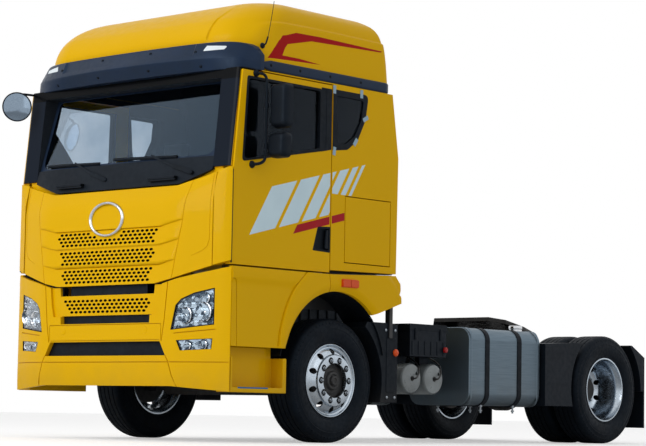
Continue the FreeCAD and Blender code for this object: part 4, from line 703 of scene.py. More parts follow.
def fold_height(fold, across):
    """The pressed lines run level and rise towards the sides."""
    return fold + max(0.0, across - 610) * 0.2


def slat_edge(height):
    """The crease between the middle and the swept sides, up to the flap's top."""
    return 842 - (1715 - height) * (0.21 if height < 1715 else 0.13)


def flap_ahead(across, height):
    """How far the flap's face is in front of the axle."""
    across = abs(across)
    face = along(FLAP_PLAN, across)
    sweep = 1458 - face
    top = 1998 + sweep
    lean = share_of((height - 1848) / (top - 1848))
    face -= lean ** 1.25 * (70 - 0.38 * sweep)
    share = share_of((slat_edge(height) - across) / 14)
    share = share * share * (3 - 2 * share)
    rise = 0.0
    edges = [fold_height(fold, across) for fold in FLAP_FOLDS] + [1226.0]
    if height > edges[0]:
        rise = 6 + 6 * max(0.0, 1 - (height - edges[0]) / 150)
    else:
        for upper, lower in zip(edges, edges[1:]):
            if lower <= height <= upper:
                rise = 15 * (upper - height) / (upper - lower)
    for fold in edges[:-1]:
        if abs(height - fold) < 1.2:
            rise -= 15
    return face + share * (rise - 5) - 4


# %% Rows of punched holes
RING_STRETCH = 1.44


def punched_rows(name):
    """A tree that sets staggered rows of oval punches, narrower towards the bottom, round a badge."""
    tree = bpy.data.node_groups.new(name, "GeometryNodeTree")
    sockets = tree.interface
    for label, start in (("Pitch", 0.053), ("Row pitch", 0.0295), ("Top height", 1.651),
            ("Half at top", 0.584),
                         ("Narrowing", 0.5), ("Badge height", 1.759), ("Badge radius", 0.165),
                         ("Face", 0.0)):
        sockets.new_socket(label, in_out="INPUT", socket_type="NodeSocketFloat").default_value = start
    sockets.new_socket("Finish", in_out="INPUT", socket_type="NodeSocketMaterial")
    sockets.new_socket("Geometry", in_out="OUTPUT", socket_type="NodeSocketGeometry")
    given = add(tree, "NodeGroupInput").outputs

    def calc(operation, first, second=0.0):
        return figured(tree, operation, first, second)

    wide = calc("MULTIPLY", given["Pitch"], 25.0)
    tall = calc("MULTIPLY", given["Row pitch"], 3.0)
    grid = add(tree, "GeometryNodeMeshGrid",
               {"Size X": wide, "Size Y": tall, "Vertices X": 26, "Vertices Y": 4})
    place = add(tree, "ShaderNodeSeparateXYZ", {0: add(tree, "GeometryNodeInputPosition").outputs[0]})
    from_low = calc("ADD", place.outputs["Y"], calc("MULTIPLY", tall, 0.5))
    row = calc("ROUND", calc("DIVIDE", from_low, given["Row pitch"]))
    shift = calc("MULTIPLY", calc("MODULO", row, 2.0), calc("MULTIPLY", given["Pitch"], 0.5))
    quarter = calc("MULTIPLY", given["Pitch"], 0.25)
    across = calc("SUBTRACT", calc("ADD", place.outputs["X"], shift), quarter)
    drop = calc("SUBTRACT", calc("MULTIPLY", tall, 0.5), place.outputs["Y"])
    height = calc("SUBTRACT", given["Top height"], drop)
    spot = add(tree, "ShaderNodeCombineXYZ", {"X": across, "Y": given["Face"], "Z": height})
    moved = add(tree, "GeometryNodeSetPosition",
                {"Geometry": grid.outputs["Mesh"], "Position": spot.outputs[0]})
    here = add(tree, "ShaderNodeSeparateXYZ", {0: add(tree, "GeometryNodeInputPosition").outputs[0]})
    lower = calc("SUBTRACT", given["Top height"], here.outputs["Z"])
    limit = calc("SUBTRACT", given["Half at top"], calc("MULTIPLY", lower, given["Narrowing"]))
    outside = calc("GREATER_THAN", calc("ABSOLUTE", here.outputs["X"]), calc("ADD", limit, 0.004))
    rise = calc("SUBTRACT", here.outputs["Z"], given["Badge height"])
    narrowed = calc("MULTIPLY", here.outputs["X"], 1 / RING_STRETCH)
    away = calc("SQRT", calc("ADD", calc("POWER", calc("ABSOLUTE", narrowed), 2.0),
                                       calc("POWER", calc("ABSOLUTE", rise), 2.0)))
    covered = calc("LESS_THAN", away, given["Badge radius"])
    dropped = calc("MAXIMUM", outside, covered)
    kept = add(tree, "GeometryNodeDeleteGeometry", {"Geometry": moved.outputs[0], "Selection": dropped},
               domain="POINT")
    oval = add(tree, "GeometryNodeMeshCylinder", {"Vertices": 12, "Radius": 0.0195, "Depth": 0.12})
    flat = add(tree, "GeometryNodeTransform",
               {"Geometry": oval.outputs["Mesh"], "Rotation": (math.pi / 2, 0, 0),
                                               "Scale": (1.0, 0.57, 1.0)})
    set_out = add(tree, "GeometryNodeInstanceOnPoints",
                  {"Points": kept.outputs[0], "Instance": flat.outputs[0]})
    real = add(tree, "GeometryNodeRealizeInstances", {"Geometry": set_out.outputs[0]})
    dressed_up = add(tree, "GeometryNodeSetMaterial",
                     {"Geometry": real.outputs[0], "Material": given["Finish"]})
    add(tree, "NodeGroupOutput", {"Geometry": dressed_up.outputs[0]})
    return tree


row_punches = punched_rows("Punched rows")


def grown(name, tree, **inputs):
    """Run a tree on an empty mesh and keep its result as a plain mesh."""
    piece = linked(name, bmesh.new())
    growth = piece.modifiers.new("Grow", "NODES")
    growth.node_group = tree
    for item in tree.interface.items_tree:
        key = item.name.replace(" ", "_")
        if item.item_type == "SOCKET" and item.in_out == "INPUT" and key in inputs:
            growth[item.identifier] = inputs[key]
    return settled(piece)


def row_set(top, half, narrowing, badge=0.0):
    rows = grown("rows", row_punches, Top_height=top / 1000, Half_at_top=half / 1000, Narrowing=narrowing,
                 Badge_radius=badge, Finish=mesh_plastic, Face=FRONT_AXLE)
    print("holes:", len(rows.data.polygons) // 14)
    return rows


# %% Press the flap
def flap_outline():
    half = [(0, 1230), (567, 1230), (730, 1260), (1104, 1360), (1104, 2086), (985, 2056),
            (730, 1998), (0, 1998)]
    return mirrored_outline(half)


def bent(piece, ahead_of):
    """Bend a flat blank: each point moves forwards to the face that the function gives."""
    for vert in piece.data.vertices:
        across, height = vert.co.x * 1000, vert.co.z * 1000
        vert.co.y -= ahead_of(across, height) / 1000
        if abs(across) > 1190:
            vert.co.y = min(vert.co.y, FRONT_AXLE - 1.289)
    return piece


def cut_for_bending(piece, across_step, height_step, folds=()):
    """Slice a flat blank both ways; folds get cuts that rise towards the sides outside the middle."""
    shape = opened(piece)
    for normal, step in (((1, 0, 0), across_step), ((0, 0, 1), height_step)):
        places = [v.co.dot(Vector(normal)) for v in shape.verts]
        sliced(shape, normal, even(min(places), max(places), step / 1000)[1:-1])
    for side, fold, shift in folds:
        corner = Vector((side * 0.61, 0, (fold + shift) / 1000))
        middle = [f for f in shape.faces if abs(f.calc_center_median().x) < 0.61]
        wing = [f for f in shape.faces if 0.61 < f.calc_center_median().x * side < 0.86]
        for faces, normal in ((middle, Vector((0, 0, 1))),
                (wing, Vector((-0.2 * side, 0, 1)).normalized())):
            if faces is middle and side < 0:
                continue
            edges = list({e for f in faces for e in f.edges})
            verts = list({v for f in faces for v in f.verts})
            bmesh.ops.bisect_plane(shape, geom=verts + edges + faces, plane_co=corner,
                    plane_no=normal, dist=1e-6)
    return put_back(shape, piece)


flap = linked("front_flap_skin", drawn(solid, flap_outline(), 0, 22, axis="y"), yellow)
flap.data.materials.append(mesh_plastic)
carved(flap, row_set(1651, 584, 0.5, 0.165), row_set(1500, 562, 0.47), row_set(1349, 538, 0.44))
CREASES = [[(842, 1715), (885, 2034)], [(842, 1715), (781, 1424), (750, 1268)],
           [(1084, 2070), (1080, 1560), (1062, 1508), (1020, 1474), (930, 1440)]]


def groove(points, width):
    """The outline of a groove along points on the front view."""
    ahead_side, back_side = [], []
    for i, point in enumerate(points):
        before = Vector(points[max(0, i - 1)])
        after = Vector(points[min(len(points) - 1, i + 1)])
        run = (after - before).normalized()
        across = Vector((-run.y, run.x)) * width / 2
        ahead_side.append(tuple(Vector(point) + across))
        back_side.append(tuple(Vector(point) - across))
    return ahead_side + back_side[::-1]


def on_both(outline):
    """An outline and its mirror image."""
    return [outline, [(-x, z) for x, z in outline]]


for crease in CREASES:
    for outline in on_both(groove(crease, 5)):
        carved(flap, punch(outline, -10, 3.5))
softened(flap, 3, angle=60)
flap_shape = opened(flap)
sliced(flap_shape, (1, 0, 0), [-0.61, 0.61])
put_back(flap_shape, flap)
fold_cuts = [(side, fold, shift) for fold in FLAP_FOLDS for shift in (-4.0, 0.0, 4.0) for side in (1, -1)]
cut_for_bending(flap, 30, 45, fold_cuts)
bent(flap, flap_ahead)
softened(flap, 0)
handed(flap, "flap", "body_paint", "front_flap")

# %% The flap's ring and backing
ring_shape = drawn(turned, [(-6, 120), (-15, 123), (-19, 131), (-15, 139), (-6, 142), (4, 142),
        (4, 120), (-6, 120)],
       at(0, -1458, 1759), (0, 1, 0), 64)
closed_up(ring_shape)
for vert in ring_shape.verts:
    vert.co.x *= RING_STRETCH
finished("badge_ring", ring_shape, bright_metal, "flap", "strap_steel")

finished("flap_mesh_backing", drawn(block, (-612, 612), (-1428, -1419), (1236, 1690)), mesh_plastic,
         "flap", "black_plastic", roll=2)

# %% [markdown]
# ## The bumper
#
# The bumper is a moulded skin in one colour with the cab. Its middle is set back round the air slots,
# seams divide it where the real mouldings meet, and pockets at the corners take the lamps.

# %% Mould the bumper
BUMPER_PLAN = [(0, 1460), (620, 1460), (745, 1458), (850, 1438), (1000, 1396), (1130, 1348),
               (1212, 1316), (1247, 1292)]
HEADLAMP = [(757, 863), (801, 1056), (850, 1105), (960, 1150), (1129, 1188), (1128, 903)]
FOG_LAMP = [(848, 704), (811, 784), (1117, 798), (1110, 716)]


def bumper_ahead(across, height):
    """The bumper's face in plan, pulled in a little towards its bottom edge."""
    face = along(BUMPER_PLAN, abs(across))
    tuck = max(0.0, (480 - height) / 50)
    return face - 22 * min(1.0, tuck) ** 2


bumper_blank = drawn(solid, mirrored_outline([
    (0, 430), (745, 430), (1247, 392), (1247, 1351), (804, 1262), (745, 1246), (640, 1222),
    (558, 1222), (550, 1152),
    (0, 1152),
]), 0, 40, axis="y")
bumper = linked("bumper_moulding", bumper_blank, yellow)
cuts = [punch(mirrored_outline([(0, 985), (614, 985), (640, 1090), (660, 1260), (0, 1260)]), -10, 20)]
cuts.append(punch(mirrored_outline([(0, 924), (522, 924), (526, 990), (0, 990)])))
cuts.append(punch(mirrored_outline([(0, 667), (709, 667), (644, 778), (0, 778)])))
for outline in on_both(HEADLAMP) + on_both(FOG_LAMP):
    cuts.append(punch(outline))
seams = [groove([(-1250, 616), (1250, 616)], 7)]
for first, last in (((739, 618), (822, 388)), ((709, 668), (740, 616)), ((662, 778), (690, 936)),
                    ((690, 936), (722, 1250))):
    seams += on_both(groove([first, last], 8))
seams += on_both(groove([(790, 838), (1140, 868)], 7))
for first, last in (((-640, 789), (640, 789)), ((-655, 915), (655, 915)), ((-655, 789), (-655, 915)),
                    ((655, 789), (655, 915))):
    seams.append(groove([first, last], 5))
cuts += [punch(outline, -10, 13) for outline in seams]
carved(bumper, *cuts)
bumper.data.materials.append(mesh_plastic)
carved(bumper, row_set(1109, 504, 0.51))
softened(bumper, 3, angle=60)
cut_for_bending(bumper, 40, 120)
bent(bumper, bumper_ahead)
softened(bumper, 0)
handed(bumper, "chassis", "body_paint", "bumper_centre", "bumper_corners")

# %% Behind the bumper
# Dark sheets behind the bumper: behind the air slots they stand for the dark ducts, and behind the gaps to the
# flap and at the corners they are painted shade.
shade_shape = drawn(block, (-742, 742), (-1418, -1412), (600, 1000))
for first, last in ((-742, -540), (-450, 450), (540, 742)):
    block(shade_shape, (first, last), (-1418, -1412), (996, 1290))
for side in (1, -1):
    solid(shade_shape, [(side * 640, 700), (side * 1150, 700), (side * 1150, 1330), (side * 700, 1258),
                        (side * 640, 1225)], -1286, -1278, axis="y")
finished("bumper_backing", shade_shape, mesh_plastic, "chassis", "black_plastic", roll=2)

plug_shape = bmesh.new()
for x in (-492, 470):
    turned(plug_shape, [(4, 0), (4, 31), (-1, 31), (-3, 29), (-3, 0)], at(x, -1460, 868), (0, 1, 0), 28)
finished("bumper_plugs", closed_up(plug_shape), yellow, "chassis", "body_paint")

# %% [markdown]
# ## Headlamps and fog lamps
#
# A clear polycarbonate cover follows the bumper's face. Behind it sit metallised bowls and a stepped
# bright housing, whose many small facets carry painted reflections of sky and ground in their colour. A black
# gasket closes the gap all round.

# %% Lamp parts
def scaled(outline, factor):
    """Draw an outline in towards its middle."""
    mid_x = sum(x for x, z in outline) / len(outline)
    mid_z = sum(z for x, z in outline) / len(outline)
    return [(mid_x + (x - mid_x) * factor, mid_z + (z - mid_z) * factor) for x, z in outline]


def lamp_ribs(outline, count):
    """Cutters that leave ridges in a lamp's bright tray, like the ribbed frame round the bowls."""
    mid_x = sum(x for x, z in outline) / len(outline)
    low, high = min(z for x, z in outline), max(z for x, z in outline)
    ribs = []
    for i in range(count):
        z = low + (high - low) * (i + 0.5) / count
        ribs.append(punch([(mid_x - 220, z - 5), (mid_x + 220, z - 1), (mid_x + 220, z + 8),
                           (mid_x - 220, z + 3)], 10, 26))
    return ribs


def lamp_layer(name, finish, slot, outline, depths, step, *nodes, cutters=(), angle=60):
    """One layer of a pair of lamps: cut flat, bent to the bumper's face and mirrored."""
    layer = linked(name, drawn(solid, outline, *depths, axis="y"), finish)
    if cutters:
        softened(carved(layer, *cutters), 2, angle=angle)
    cut_for_bending(layer, step, 400)
    softened(bent(layer, bumper_ahead), 0)
    handed(mirror_piece(layer), "chassis", slot, *nodes)


def bowl(x, z, radius, depth=46):
    """A metallised reflector with a bulb shield in its middle."""
    shape = bmesh.new()
    face = bumper_ahead(x, z)
    profile = [(12, radius + 6), (10, radius), (depth * 0.55, radius * 0.72), (depth * 0.85, radius * 0.42),
               (depth, radius * 0.16), (depth * 0.45, radius * 0.15), (depth * 0.35, 0)]
    turned(shape, profile, at(x, -face, z), (0, 1, 0), 28)
    return closed_up(shape)


def joined_bowls(name, places):
    whole = bmesh.new()
    for x, z, radius in places:
        part = bowl(x, z, radius)
        mesh = bpy.data.meshes.new("part")
        part.to_mesh(mesh)
        part.free()
        whole.from_mesh(mesh)
        bpy.data.meshes.remove(mesh)
    return whole


def mirror_piece(piece):
    """Add a piece's mirror image to it."""
    return put_back(both(opened(piece)), piece)


for outline, label, ribs in ((HEADLAMP, "headlamp", 7), (FOG_LAMP, "fog_lamp", 3)):
    lamp_layer(label + "_covers", lens_glass, "lamp_lens", scaled(outline, 0.965), (5, 9), 40,
               "front_lamps")
    lamp_layer(label + "_gaskets", rubber_seal, "black_plastic", scaled(outline, 0.998), (1, 60), 50,
               cutters=[punch(scaled(outline, 0.945), -20, 80)])
    lamp_layer(label + "_housings", housing_metal, "strap_steel", scaled(outline, 0.95), (18, 58), 60,
               cutters=lamp_ribs(outline, ribs), angle=50)

bowl_shape = joined_bowls("bowls", [(880, 975, 62), (1035, 1000, 74), (1048, 1110, 36), (905, 745, 30),
        (1035, 750, 34)])
finished("lamp_reflectors", both(bowl_shape), reflector_metal, "chassis", "strap_steel")

# %% [markdown]
# ## Helpers for the sides
#
# The trim on the doors and the cab's sides and the mirrors come in pairs, so each is made once for the left side
# and mirrored.
# Flat trim is an outline with eased corners that is given a thickness.

# %% Outlines and pairs
def eased(corners, radius=0.0, steps=5):
    """Round the corners of an outline; a corner may carry its own radius as a third number."""
    points = []
    for i, corner in enumerate(corners):
        here = Vector(corner[:2])
        before = Vector(corners[i - 1][:2]) - here
        after = Vector(corners[(i + 1) % len(corners)][:2]) - here
        size = corner[2] if len(corner) > 2 else radius
        reach = min(size / math.tan(before.angle(after) / 2), before.length / 2.05, after.length / 2.05)
        first = here + before.normalized() * reach
        last = here + after.normalized() * reach
        for k in range(steps + 1):
            t = k / steps
            spot = first * (1 - t) ** 2 + here * 2 * t * (1 - t) + last * t ** 2
            points.append((spot.x, spot.y))
    return points


def oblong(x, z, radius=0.0, steps=5):
    """A rectangle between its limits each way, with eased corners where it has a radius."""
    corners = [(x[0], z[0]), (x[1], z[0]), (x[1], z[1]), (x[0], z[1])]
    return eased(corners, radius, steps) if radius else corners


def frame_ring(shape, outer, inner, low, high):
    """A flat frame between two outlines of as many points, on the side view."""
    sides = ((outer, low), (outer, high), (inner, high), (inner, low))
    skinned(shape, [[at(place, a, z) for a, z in outline] for outline, place in sides],
            capped=False, joined=True)


def clipped(points, limit, keep):
    """The part of a convex outline before or behind a place; keep is 1 for behind, -1 for before."""
    kept = []
    for first, second in zip(points, points[1:] + points[:1]):
        inside_first = (first[0] - limit) * keep >= 0
        inside_second = (second[0] - limit) * keep >= 0
        if inside_first:
            kept.append(first)
        if inside_first != inside_second:
            t = (limit - first[0]) / (second[0] - first[0])
            kept.append((limit, first[1] + (second[1] - first[1]) * t))
    return kept


def paired(name, make, finish, slot, bodies, width=2.0, nodes=(), angle=40):
    """Make a piece for the left side and its mirror image for the right one."""
    for side, ending, body in ((1, "_left", bodies[0]), (-1, "_right", bodies[1])):
        shape = drawn(make)
        if side < 0:
            for vert in shape.verts:
                vert.co.x = -vert.co.x
            bmesh.ops.reverse_faces(shape, faces=shape.faces)
        finished(name + ending, shape, finish, body, slot, *[node + ending for node in nodes],
                 roll=width, angle=angle)


def prisms(*rows, axis="x"):
    """A function that draws prisms; each row is corners, low and high."""
    def make(shape):
        for corners, low, high in rows:
            solid(shape, corners, low, high, axis)
    return make


CAB = ("cab", "cab")
DOORS = ("left_door", "right_door")

# %% [markdown]
# ## Side windows
#
# A black rubber section holds each pane. Between the door glass and the rear quarter glass the pillar
# is black too, so that the windows read as one dark band with a rounded lower corner.

# %% Trim of the side windows
DOOR_GLASS = [(-1190, 2185, 30), (-1148, 2840, 25), (-300, 2840, 25), (-300, 2355, 25)]
QUARTER_GLASS = [(-86, 2434, 14), (-119, 2816, 16), (226, 2812, 26), (200, 2650, 60), (120, 2510, 70),
                 (4, 2430, 60)]
QUARTER_TRIM = [(-152, 2364, 8), (-152, 2868, 8), (288, 2868, 48), (252, 2655, 70), (156, 2476, 80),
                (34, 2388, 70)]


def grown_outline(corners, amount):
    """Push the corners of an outline away from its middle, each way by an amount."""
    mid_a = sum(c[0] for c in corners) / len(corners)
    mid_z = sum(c[1] for c in corners) / len(corners)
    return [(a + amount * math.copysign(1, a - mid_a), z + amount * math.copysign(1, z - mid_z), r)
            for a, z, r in corners]


def door_seal(shape):
    outer, inner = [eased(grown_outline(DOOR_GLASS, amount)) for amount in (12, -10)]
    frame_ring(shape, outer, inner, 1222, 1250.5)


door_pillar = prisms((eased([(-296, 2864), (-168, 2864), (-168, 2368), (-296, 2340)], 6, 3), 1246, 1250),
                     (eased([(-236, 2850), (-222, 2850), (-222, 2372), (-236, 2368)], 3, 2), 1249, 1252))


def quarter_trim(shape):
    frame_ring(shape, eased(QUARTER_TRIM), eased(QUARTER_GLASS), 1240, 1250)


def tabs(shape):
    for a, z, turn in ((-140, 2866, 0), (196, 2868, 0), (250, 2668, 60), (128, 2462, 35), (-132, 2362, 8)):
        along_tab = Vector((math.sin(math.radians(turn)), math.cos(math.radians(turn))))
        across_tab = Vector((along_tab.y, -along_tab.x))
        corners = [Vector((a, z)) + across_tab * (i * 17) + along_tab * (j * 34) for i,
                   j in ((-1, -1), (1, -1), (1, 1), (-1, 1))]
        solid(shape, [tuple(c) for c in corners], 1249.5, 1251.3)


# A dark strip in the gap between the corner panel and the door front: painted shade in the gap.
corner_gap = prisms((oblong((-1298, -1291), (1382, 2104)), 1236, 1247.8))
paired("corner_gap_seal", corner_gap, rubber_seal, "black_plastic", CAB, 0)
paired("door_window_seal", door_seal, rubber_seal, "dark_trim", DOORS, 3)
paired("door_pillar_trim", door_pillar, rubber_seal, "dark_trim", DOORS, 1.5)
paired("quarter_window_seal", quarter_trim, rubber_seal, "dark_trim", CAB, 3)
paired("window_tape_tabs", tabs, blue_tape, "strap_steel", CAB, 0)

# %% [markdown]
# ## Door handle and graphics
#
# The handle is a dark cup with an upright grip at its rear edge. The maker's lettering is left off:
# slanted bars of the same silver film, and one red bar, keep the weight of the real graphics.

# %% Swages of the rear wall
def rear_swages(shape):
    """Long pressed ribs that stiffen the flat steel wall behind the bunk."""
    for z in even(1560, 2760, 200):
        outline = oblong((-980, 980), (z - 18, z + 18), 17, 4)
        solid(shape, outline, 681, 688, axis="y")


finished("rear_wall_swages", drawn(rear_swages), yellow, "cab", "body_paint", roll=3)


# %% Handle
def handle_cup(shape):
    outer = eased([(-372, 1538, 8), (-163, 1531, 8), (-162, 1741, 8), (-314, 1733, 20)], 0, 4)
    inner = eased([(-352, 1552, 8), (-180, 1546, 8), (-180, 1724, 8), (-306, 1716, 18)], 0, 4)
    frame_ring(shape, outer, inner, 1222, 1248.5)
    solid(shape, [(-366, 1544), (-169, 1537), (-168, 1735), (-310, 1727)], 1221.5, 1224)


handle_grip = prisms((eased([(-226, 1560, 10), (-188, 1558, 6), (-188, 1712, 6), (-214, 1712, 14)], 0, 4),
        1230, 1251))
paired("door_handle_cup", handle_cup, rubber_seal, "black_plastic", DOORS, 2)
paired("door_handle_grip", handle_grip, black_plastic, "black_plastic", DOORS, 5)

# %% Graphics
BAR_START, BAR_SLOPE, BAR_LEAN = (-1105, 1608), 0.25, 0.62


def bar(start, end, low=0.0, high=400.0):
    """A slanted bar of film on the side, from two places along the band."""
    points = []
    for along_band, rise in ((start, low), (end, low), (end, high), (start, high)):
        a = BAR_START[0] + along_band + rise * BAR_LEAN
        points.append((a, BAR_START[1] + along_band * BAR_SLOPE + rise))
    return points


SILVER_BARS = [bar(0, 290), bar(335, 555), bar(600, 760), bar(805, 915), bar(960, 1030), bar(1075, 1115)]
RED_BARS = [bar(560, 1420, -95, -20)]


def film(bars, limit, keep, floor_height=0.0):
    def make(shape):
        for outline in bars:
            part = clipped(outline, limit, keep)
            if len(part) > 2:
                part = [(z, a) for a, z in clipped([(z, a) for a, z in part], floor_height, 1)]
            if len(part) > 2:
                solid(shape, part, 1246.6, 1247.9)
    return make


paired("door_silver_bars", film(SILVER_BARS, -174, -1), silver_film, "strap_steel", DOORS, 0)
paired("cab_silver_bars", film(SILVER_BARS, -146, 1, 2014), silver_film, "strap_steel", CAB, 0)
paired("door_red_bar", film(RED_BARS, -174, -1), red_film, "red_lens", DOORS, 0)
paired("cab_red_bar", film([[(a, z) for a, z in clipped(RED_BARS[0], 8, -1)]], -146, 1), red_film,
       "red_lens", CAB, 0)

# %% [markdown]
# ## Mirrors
#
# Each door carries a bent tube with two housings: a tall one and a wide-angle one below. The housings
# are shells with rounded corners, and the glass sits in a shallow frame on their rear.

# %% Mirrors on the doors
def housing(shape, x, a, z, bow):
    """A rounded shell that is deeper and fuller in its middle."""
    rings = []
    for t in (0.0, 0.06, 0.2, 0.5, 0.8, 1.0):
        draw = {0.0: 34, 0.06: 16, 0.2: 5}.get(t, 0)
        place = a[0] + (a[1] - a[0]) * t
        outline = eased([(x[0] + draw, z[0] + draw), (x[1] - draw, z[0] + draw), (x[1] - draw, z[1] - draw),
                         (x[0] + draw, z[1] - draw)], 42, 5)
        rings.append([at(px, place - (bow if t == 0 else 0), pz) for px, pz in outline])
    skinned(shape, rings)


def mirror_shells(shape):
    housing(shape, (1326, 1504), (-996, -905), (2450, 2795), 4)
    housing(shape, (1318, 1500), (-1008, -915), (2214, 2408), 4)


def mirror_tube(shape):
    pipe(shape, [(1249, -1092, 2158), (1280, -1090, 2158), (1306, -1060, 2164), (1316, -1020, 2190),
                 (1318, -1012, 2240),
                 (1318, -1012, 2500), (1318, -1012, 2780), (1316, -1014, 2840), (1306, -1030, 2868),
                 (1285, -1060, 2876),
                 (1249, -1066, 2878)], 12)
    for z in (2300, 2620):
        turned(shape, [(-22, 12), (-22, 19), (22, 19), (22, 12)], at(1318, -1012, z), (0, 0, 1), 16)
    for a, z in ((-1092, 2158), (-1066, 2878)):
        turned(shape, [(-2, 0), (-2, 30), (8, 28), (22, 17), (22, 0)], at(1249, a, z), (1, 0, 0), 20)
    closed_up(shape)


mirror_glass = prisms((oblong((1340, 1490), (2466, 2779), 26, 4), -906, -902.5),
                      (oblong((1332, 1486), (2228, 2394), 24, 4), -916, -912.5), axis="y")
paired("mirror_housings", mirror_shells, black_plastic, "black_plastic", DOORS, 0, ["mirror"])
paired("mirror_arms", mirror_tube, black_plastic, "black_plastic", DOORS, 0)
paired("mirror_glasses", mirror_glass, silvered_glass, "strap_steel", DOORS, 1)

# %% [markdown]
# ## Side strips
#
# A dark moulding hides the joint between cab and roof. It wraps round the rear corner, so its section
# is carried along the roof's edge and round the corner, and small screws hold it.

# %% Strips
def wrap(along_strip, out, height):
    """A place on the strip: straight on the side, then round the rear corner."""
    if along_strip <= 494:
        return at(1240 + out, along_strip, height)
    turn = min(math.radians(88), (along_strip - 494) / 80)
    radius = 80 + out
    return at(1160 + radius * math.cos(turn), 494 + radius * math.sin(turn), height)


def strip_band(shape):
    places = even(-1010, 494, 120) + even(494, 612, 10)[1:]
    section = [(0.5, 2916), (9, 2919), (14, 2930), (14, 2988), (9, 2999), (0.5, 3002)]
    rows = []
    for place in places:
        squeeze = max(0.0, 1 - (place + 1010) / 50) if place < -960 else 0.0
        rows.append([wrap(place, out, z + (2958 - z) * squeeze * 0.6) for out, z in section])
    skinned(shape, rows)


def strip_screws(shape):
    for place in (-900, -560, -200, 180):
        turned(shape, [(12, 0), (12, 14), (15.5, 12), (17, 7), (14, 4), (14, 0)], at(1240, place, 2962),
               (1, 0, 0), 14)
    closed_up(shape)


finished("side_strip_mouldings", both(drawn(strip_band)), visor_plastic, "cab", "dark_trim", "side_strips")
finished("side_strip_screws", both(drawn(strip_screws)), rubber_seal, "cab", "black_plastic")

# %% [markdown]
# ## Fenders
#
# The panels under the doors are pressed steel and plastic: a flat front panel, and a flare round the
# wheel that swells and rolls into the opening. A flat blank is cut, sliced, and pushed out by rule.

# %% Fenders and arches
ARCH = Vector((-50, 595))
FLARE = [(167.0, 723), (150.0, 762), (130.0, 822), (115.0, 858), (100.0, 900), (60.0, 1000), (20.0, 1000)]


def flare_edge(turn):
    return along([(180 - t, r) for t, r in FLARE], 180 - turn)


def panel_out(a, z):
    """How far the pressed panel stands out of the cab's side."""
    offset = Vector((a, z)) - ARCH
    turn = math.degrees(math.atan2(offset.y, offset.x))
    distance = offset.length
    edge = flare_edge(turn)
    if distance < edge:
        roll = math.sin(share_of((distance - 630) / 55) * math.pi / 2)
        step_out = math.sin(min(1.0, (edge - distance) / 22) * math.pi / 2)
        return -12 + 22 * roll + 10 * step_out * share_of((edge - 700) / 40)
    return along([(1150, 0), (1238, 0), (1262, 11), (1318, 11), (1345, 5), (1392, 0)], z)


def fender_piece():
    outline = [(-1284, 743), (-640, 743), (-50, 743), (385, 1052), (728, 1163), (722, 1330), (672, 1392),
               (-145, 1358), (-1284, 1358)]
    piece = linked("fender_panels", drawn(solid, outline, 0, 34), yellow)
    cutter = drawn(turned, [(-80, 0), (-80, 630), (120, 630), (120, 0)], at(0, ARCH.x, ARCH.y),
                   (1, 0, 0), 72)
    carved(piece, linked("arch_cutter", closed_up(cutter)))
    curve = [tuple(ARCH + heading(t) * flare_edge(t)) for t in even(167, 100, 3)]
    seam_width = 5
    flare_seam = [(a - seam_width, z) for a, z in curve] + [(a + seam_width, z) for a, z in reversed(curve)]
    upright = [(-190, 1420), (-184, 1420), (-152, 1180), (-158, 1180)]
    front_seam = [(-1300, 1268), (-1251, 1262), (-1231, 1239), (-1214, 700), (-1220, 700), (-1237, 1237),
                  (-1254, 1256),
                  (-1300, 1262)]
    for corners, depth in ((flare_seam, 20), (upright, 22), (front_seam, 20)):
        carved(piece, linked("seam_cutter", drawn(solid, corners, depth, 60)))
    shape = opened(piece)
    sliced(shape, (0, 1, 0), [FRONT_AXLE + a / 1000 for a in even(-1260, 700, 20)])
    sliced(shape, (0, 0, 1), [z / 1000 for z in even(760, 1380, 16)])
    for vert in shape.verts:
        a, z = (vert.co.y - FRONT_AXLE) * 1000, vert.co.z * 1000
        vert.co.x += (1212 + panel_out(a, z)) / 1000
    return softened(put_back(both(shape), piece), 0)


handed(fender_piece(), "chassis", "body_paint", "arch_panels")


# %% Arch liners and stays
def liner(shape):
    inner, outer = [[tuple(ARCH + heading(turn) * radius) for turn in even(172, 12, 6)] for radius in (632,
            640)]
    solid(shape, inner + outer[::-1], 872, 1206)
    for turn in (150, 110, 70, 30):
        along_rib = heading(turn)
        middle = ARCH + along_rib * 639
        across_rib = Vector((-along_rib.y, along_rib.x))
        corners = [middle + across_rib * (i * 22) + along_rib * j for i,
                   j in ((-1, 0), (1, 0), (1, 8), (-1, 8))]
        solid(shape, [tuple(c) for c in corners], 880, 1200)


def arch_stays(shape):
    block(shape, (425.5, 1210), (-715, -672), (756, 798))
    block(shape, (425.5, 1196), (650, 690), (872, 928))
    block(shape, (1155, 1206), (650, 690), (872, 1300))
    block(shape, (862, 874), (-560, 590), (1090, 1240))


def top_lip(shape):
    """The dark flange that closes most of the gap under the cab."""
    solid(shape, [(-150, 1300), (640, 1300), (668, 1397), (-140, 1364), (-1270, 1364), (-1270, 1330),
                  (-150, 1330)], 1120, 1206)


def noise_shield(shape):
    """The dark wall between the wheel and the engine, with pressed ribs."""
    solid(shape, oblong((-640, 900), (760, 1340)), 455, 463)
    for a in even(-560, 820, 115):
        block(shape, (460, 474), (a - 16, a + 16), (800, 1300))


def wheel_guard(shape):
    """The guard behind the front wheel: a curved wall, a flat outer face and a rolled rear edge."""
    axle = Vector((0, 505))
    curve = [axle + heading(t) * 575 for t in even(-14, 52, 4)]
    inner = [tuple(p) for p in curve if p.x > 340]
    outline = inner + [(380, 1000), (520, 1000), (640, 1000), (772, 985), (772, 338), (inner[0][0], 338)]
    solid(shape, outline, 872, 1192)
    solid(shape, eased([(628, 880, 20), (748, 880, 20), (748, 420, 20), (628, 420, 20)], 20, 4), 1190, 1196)


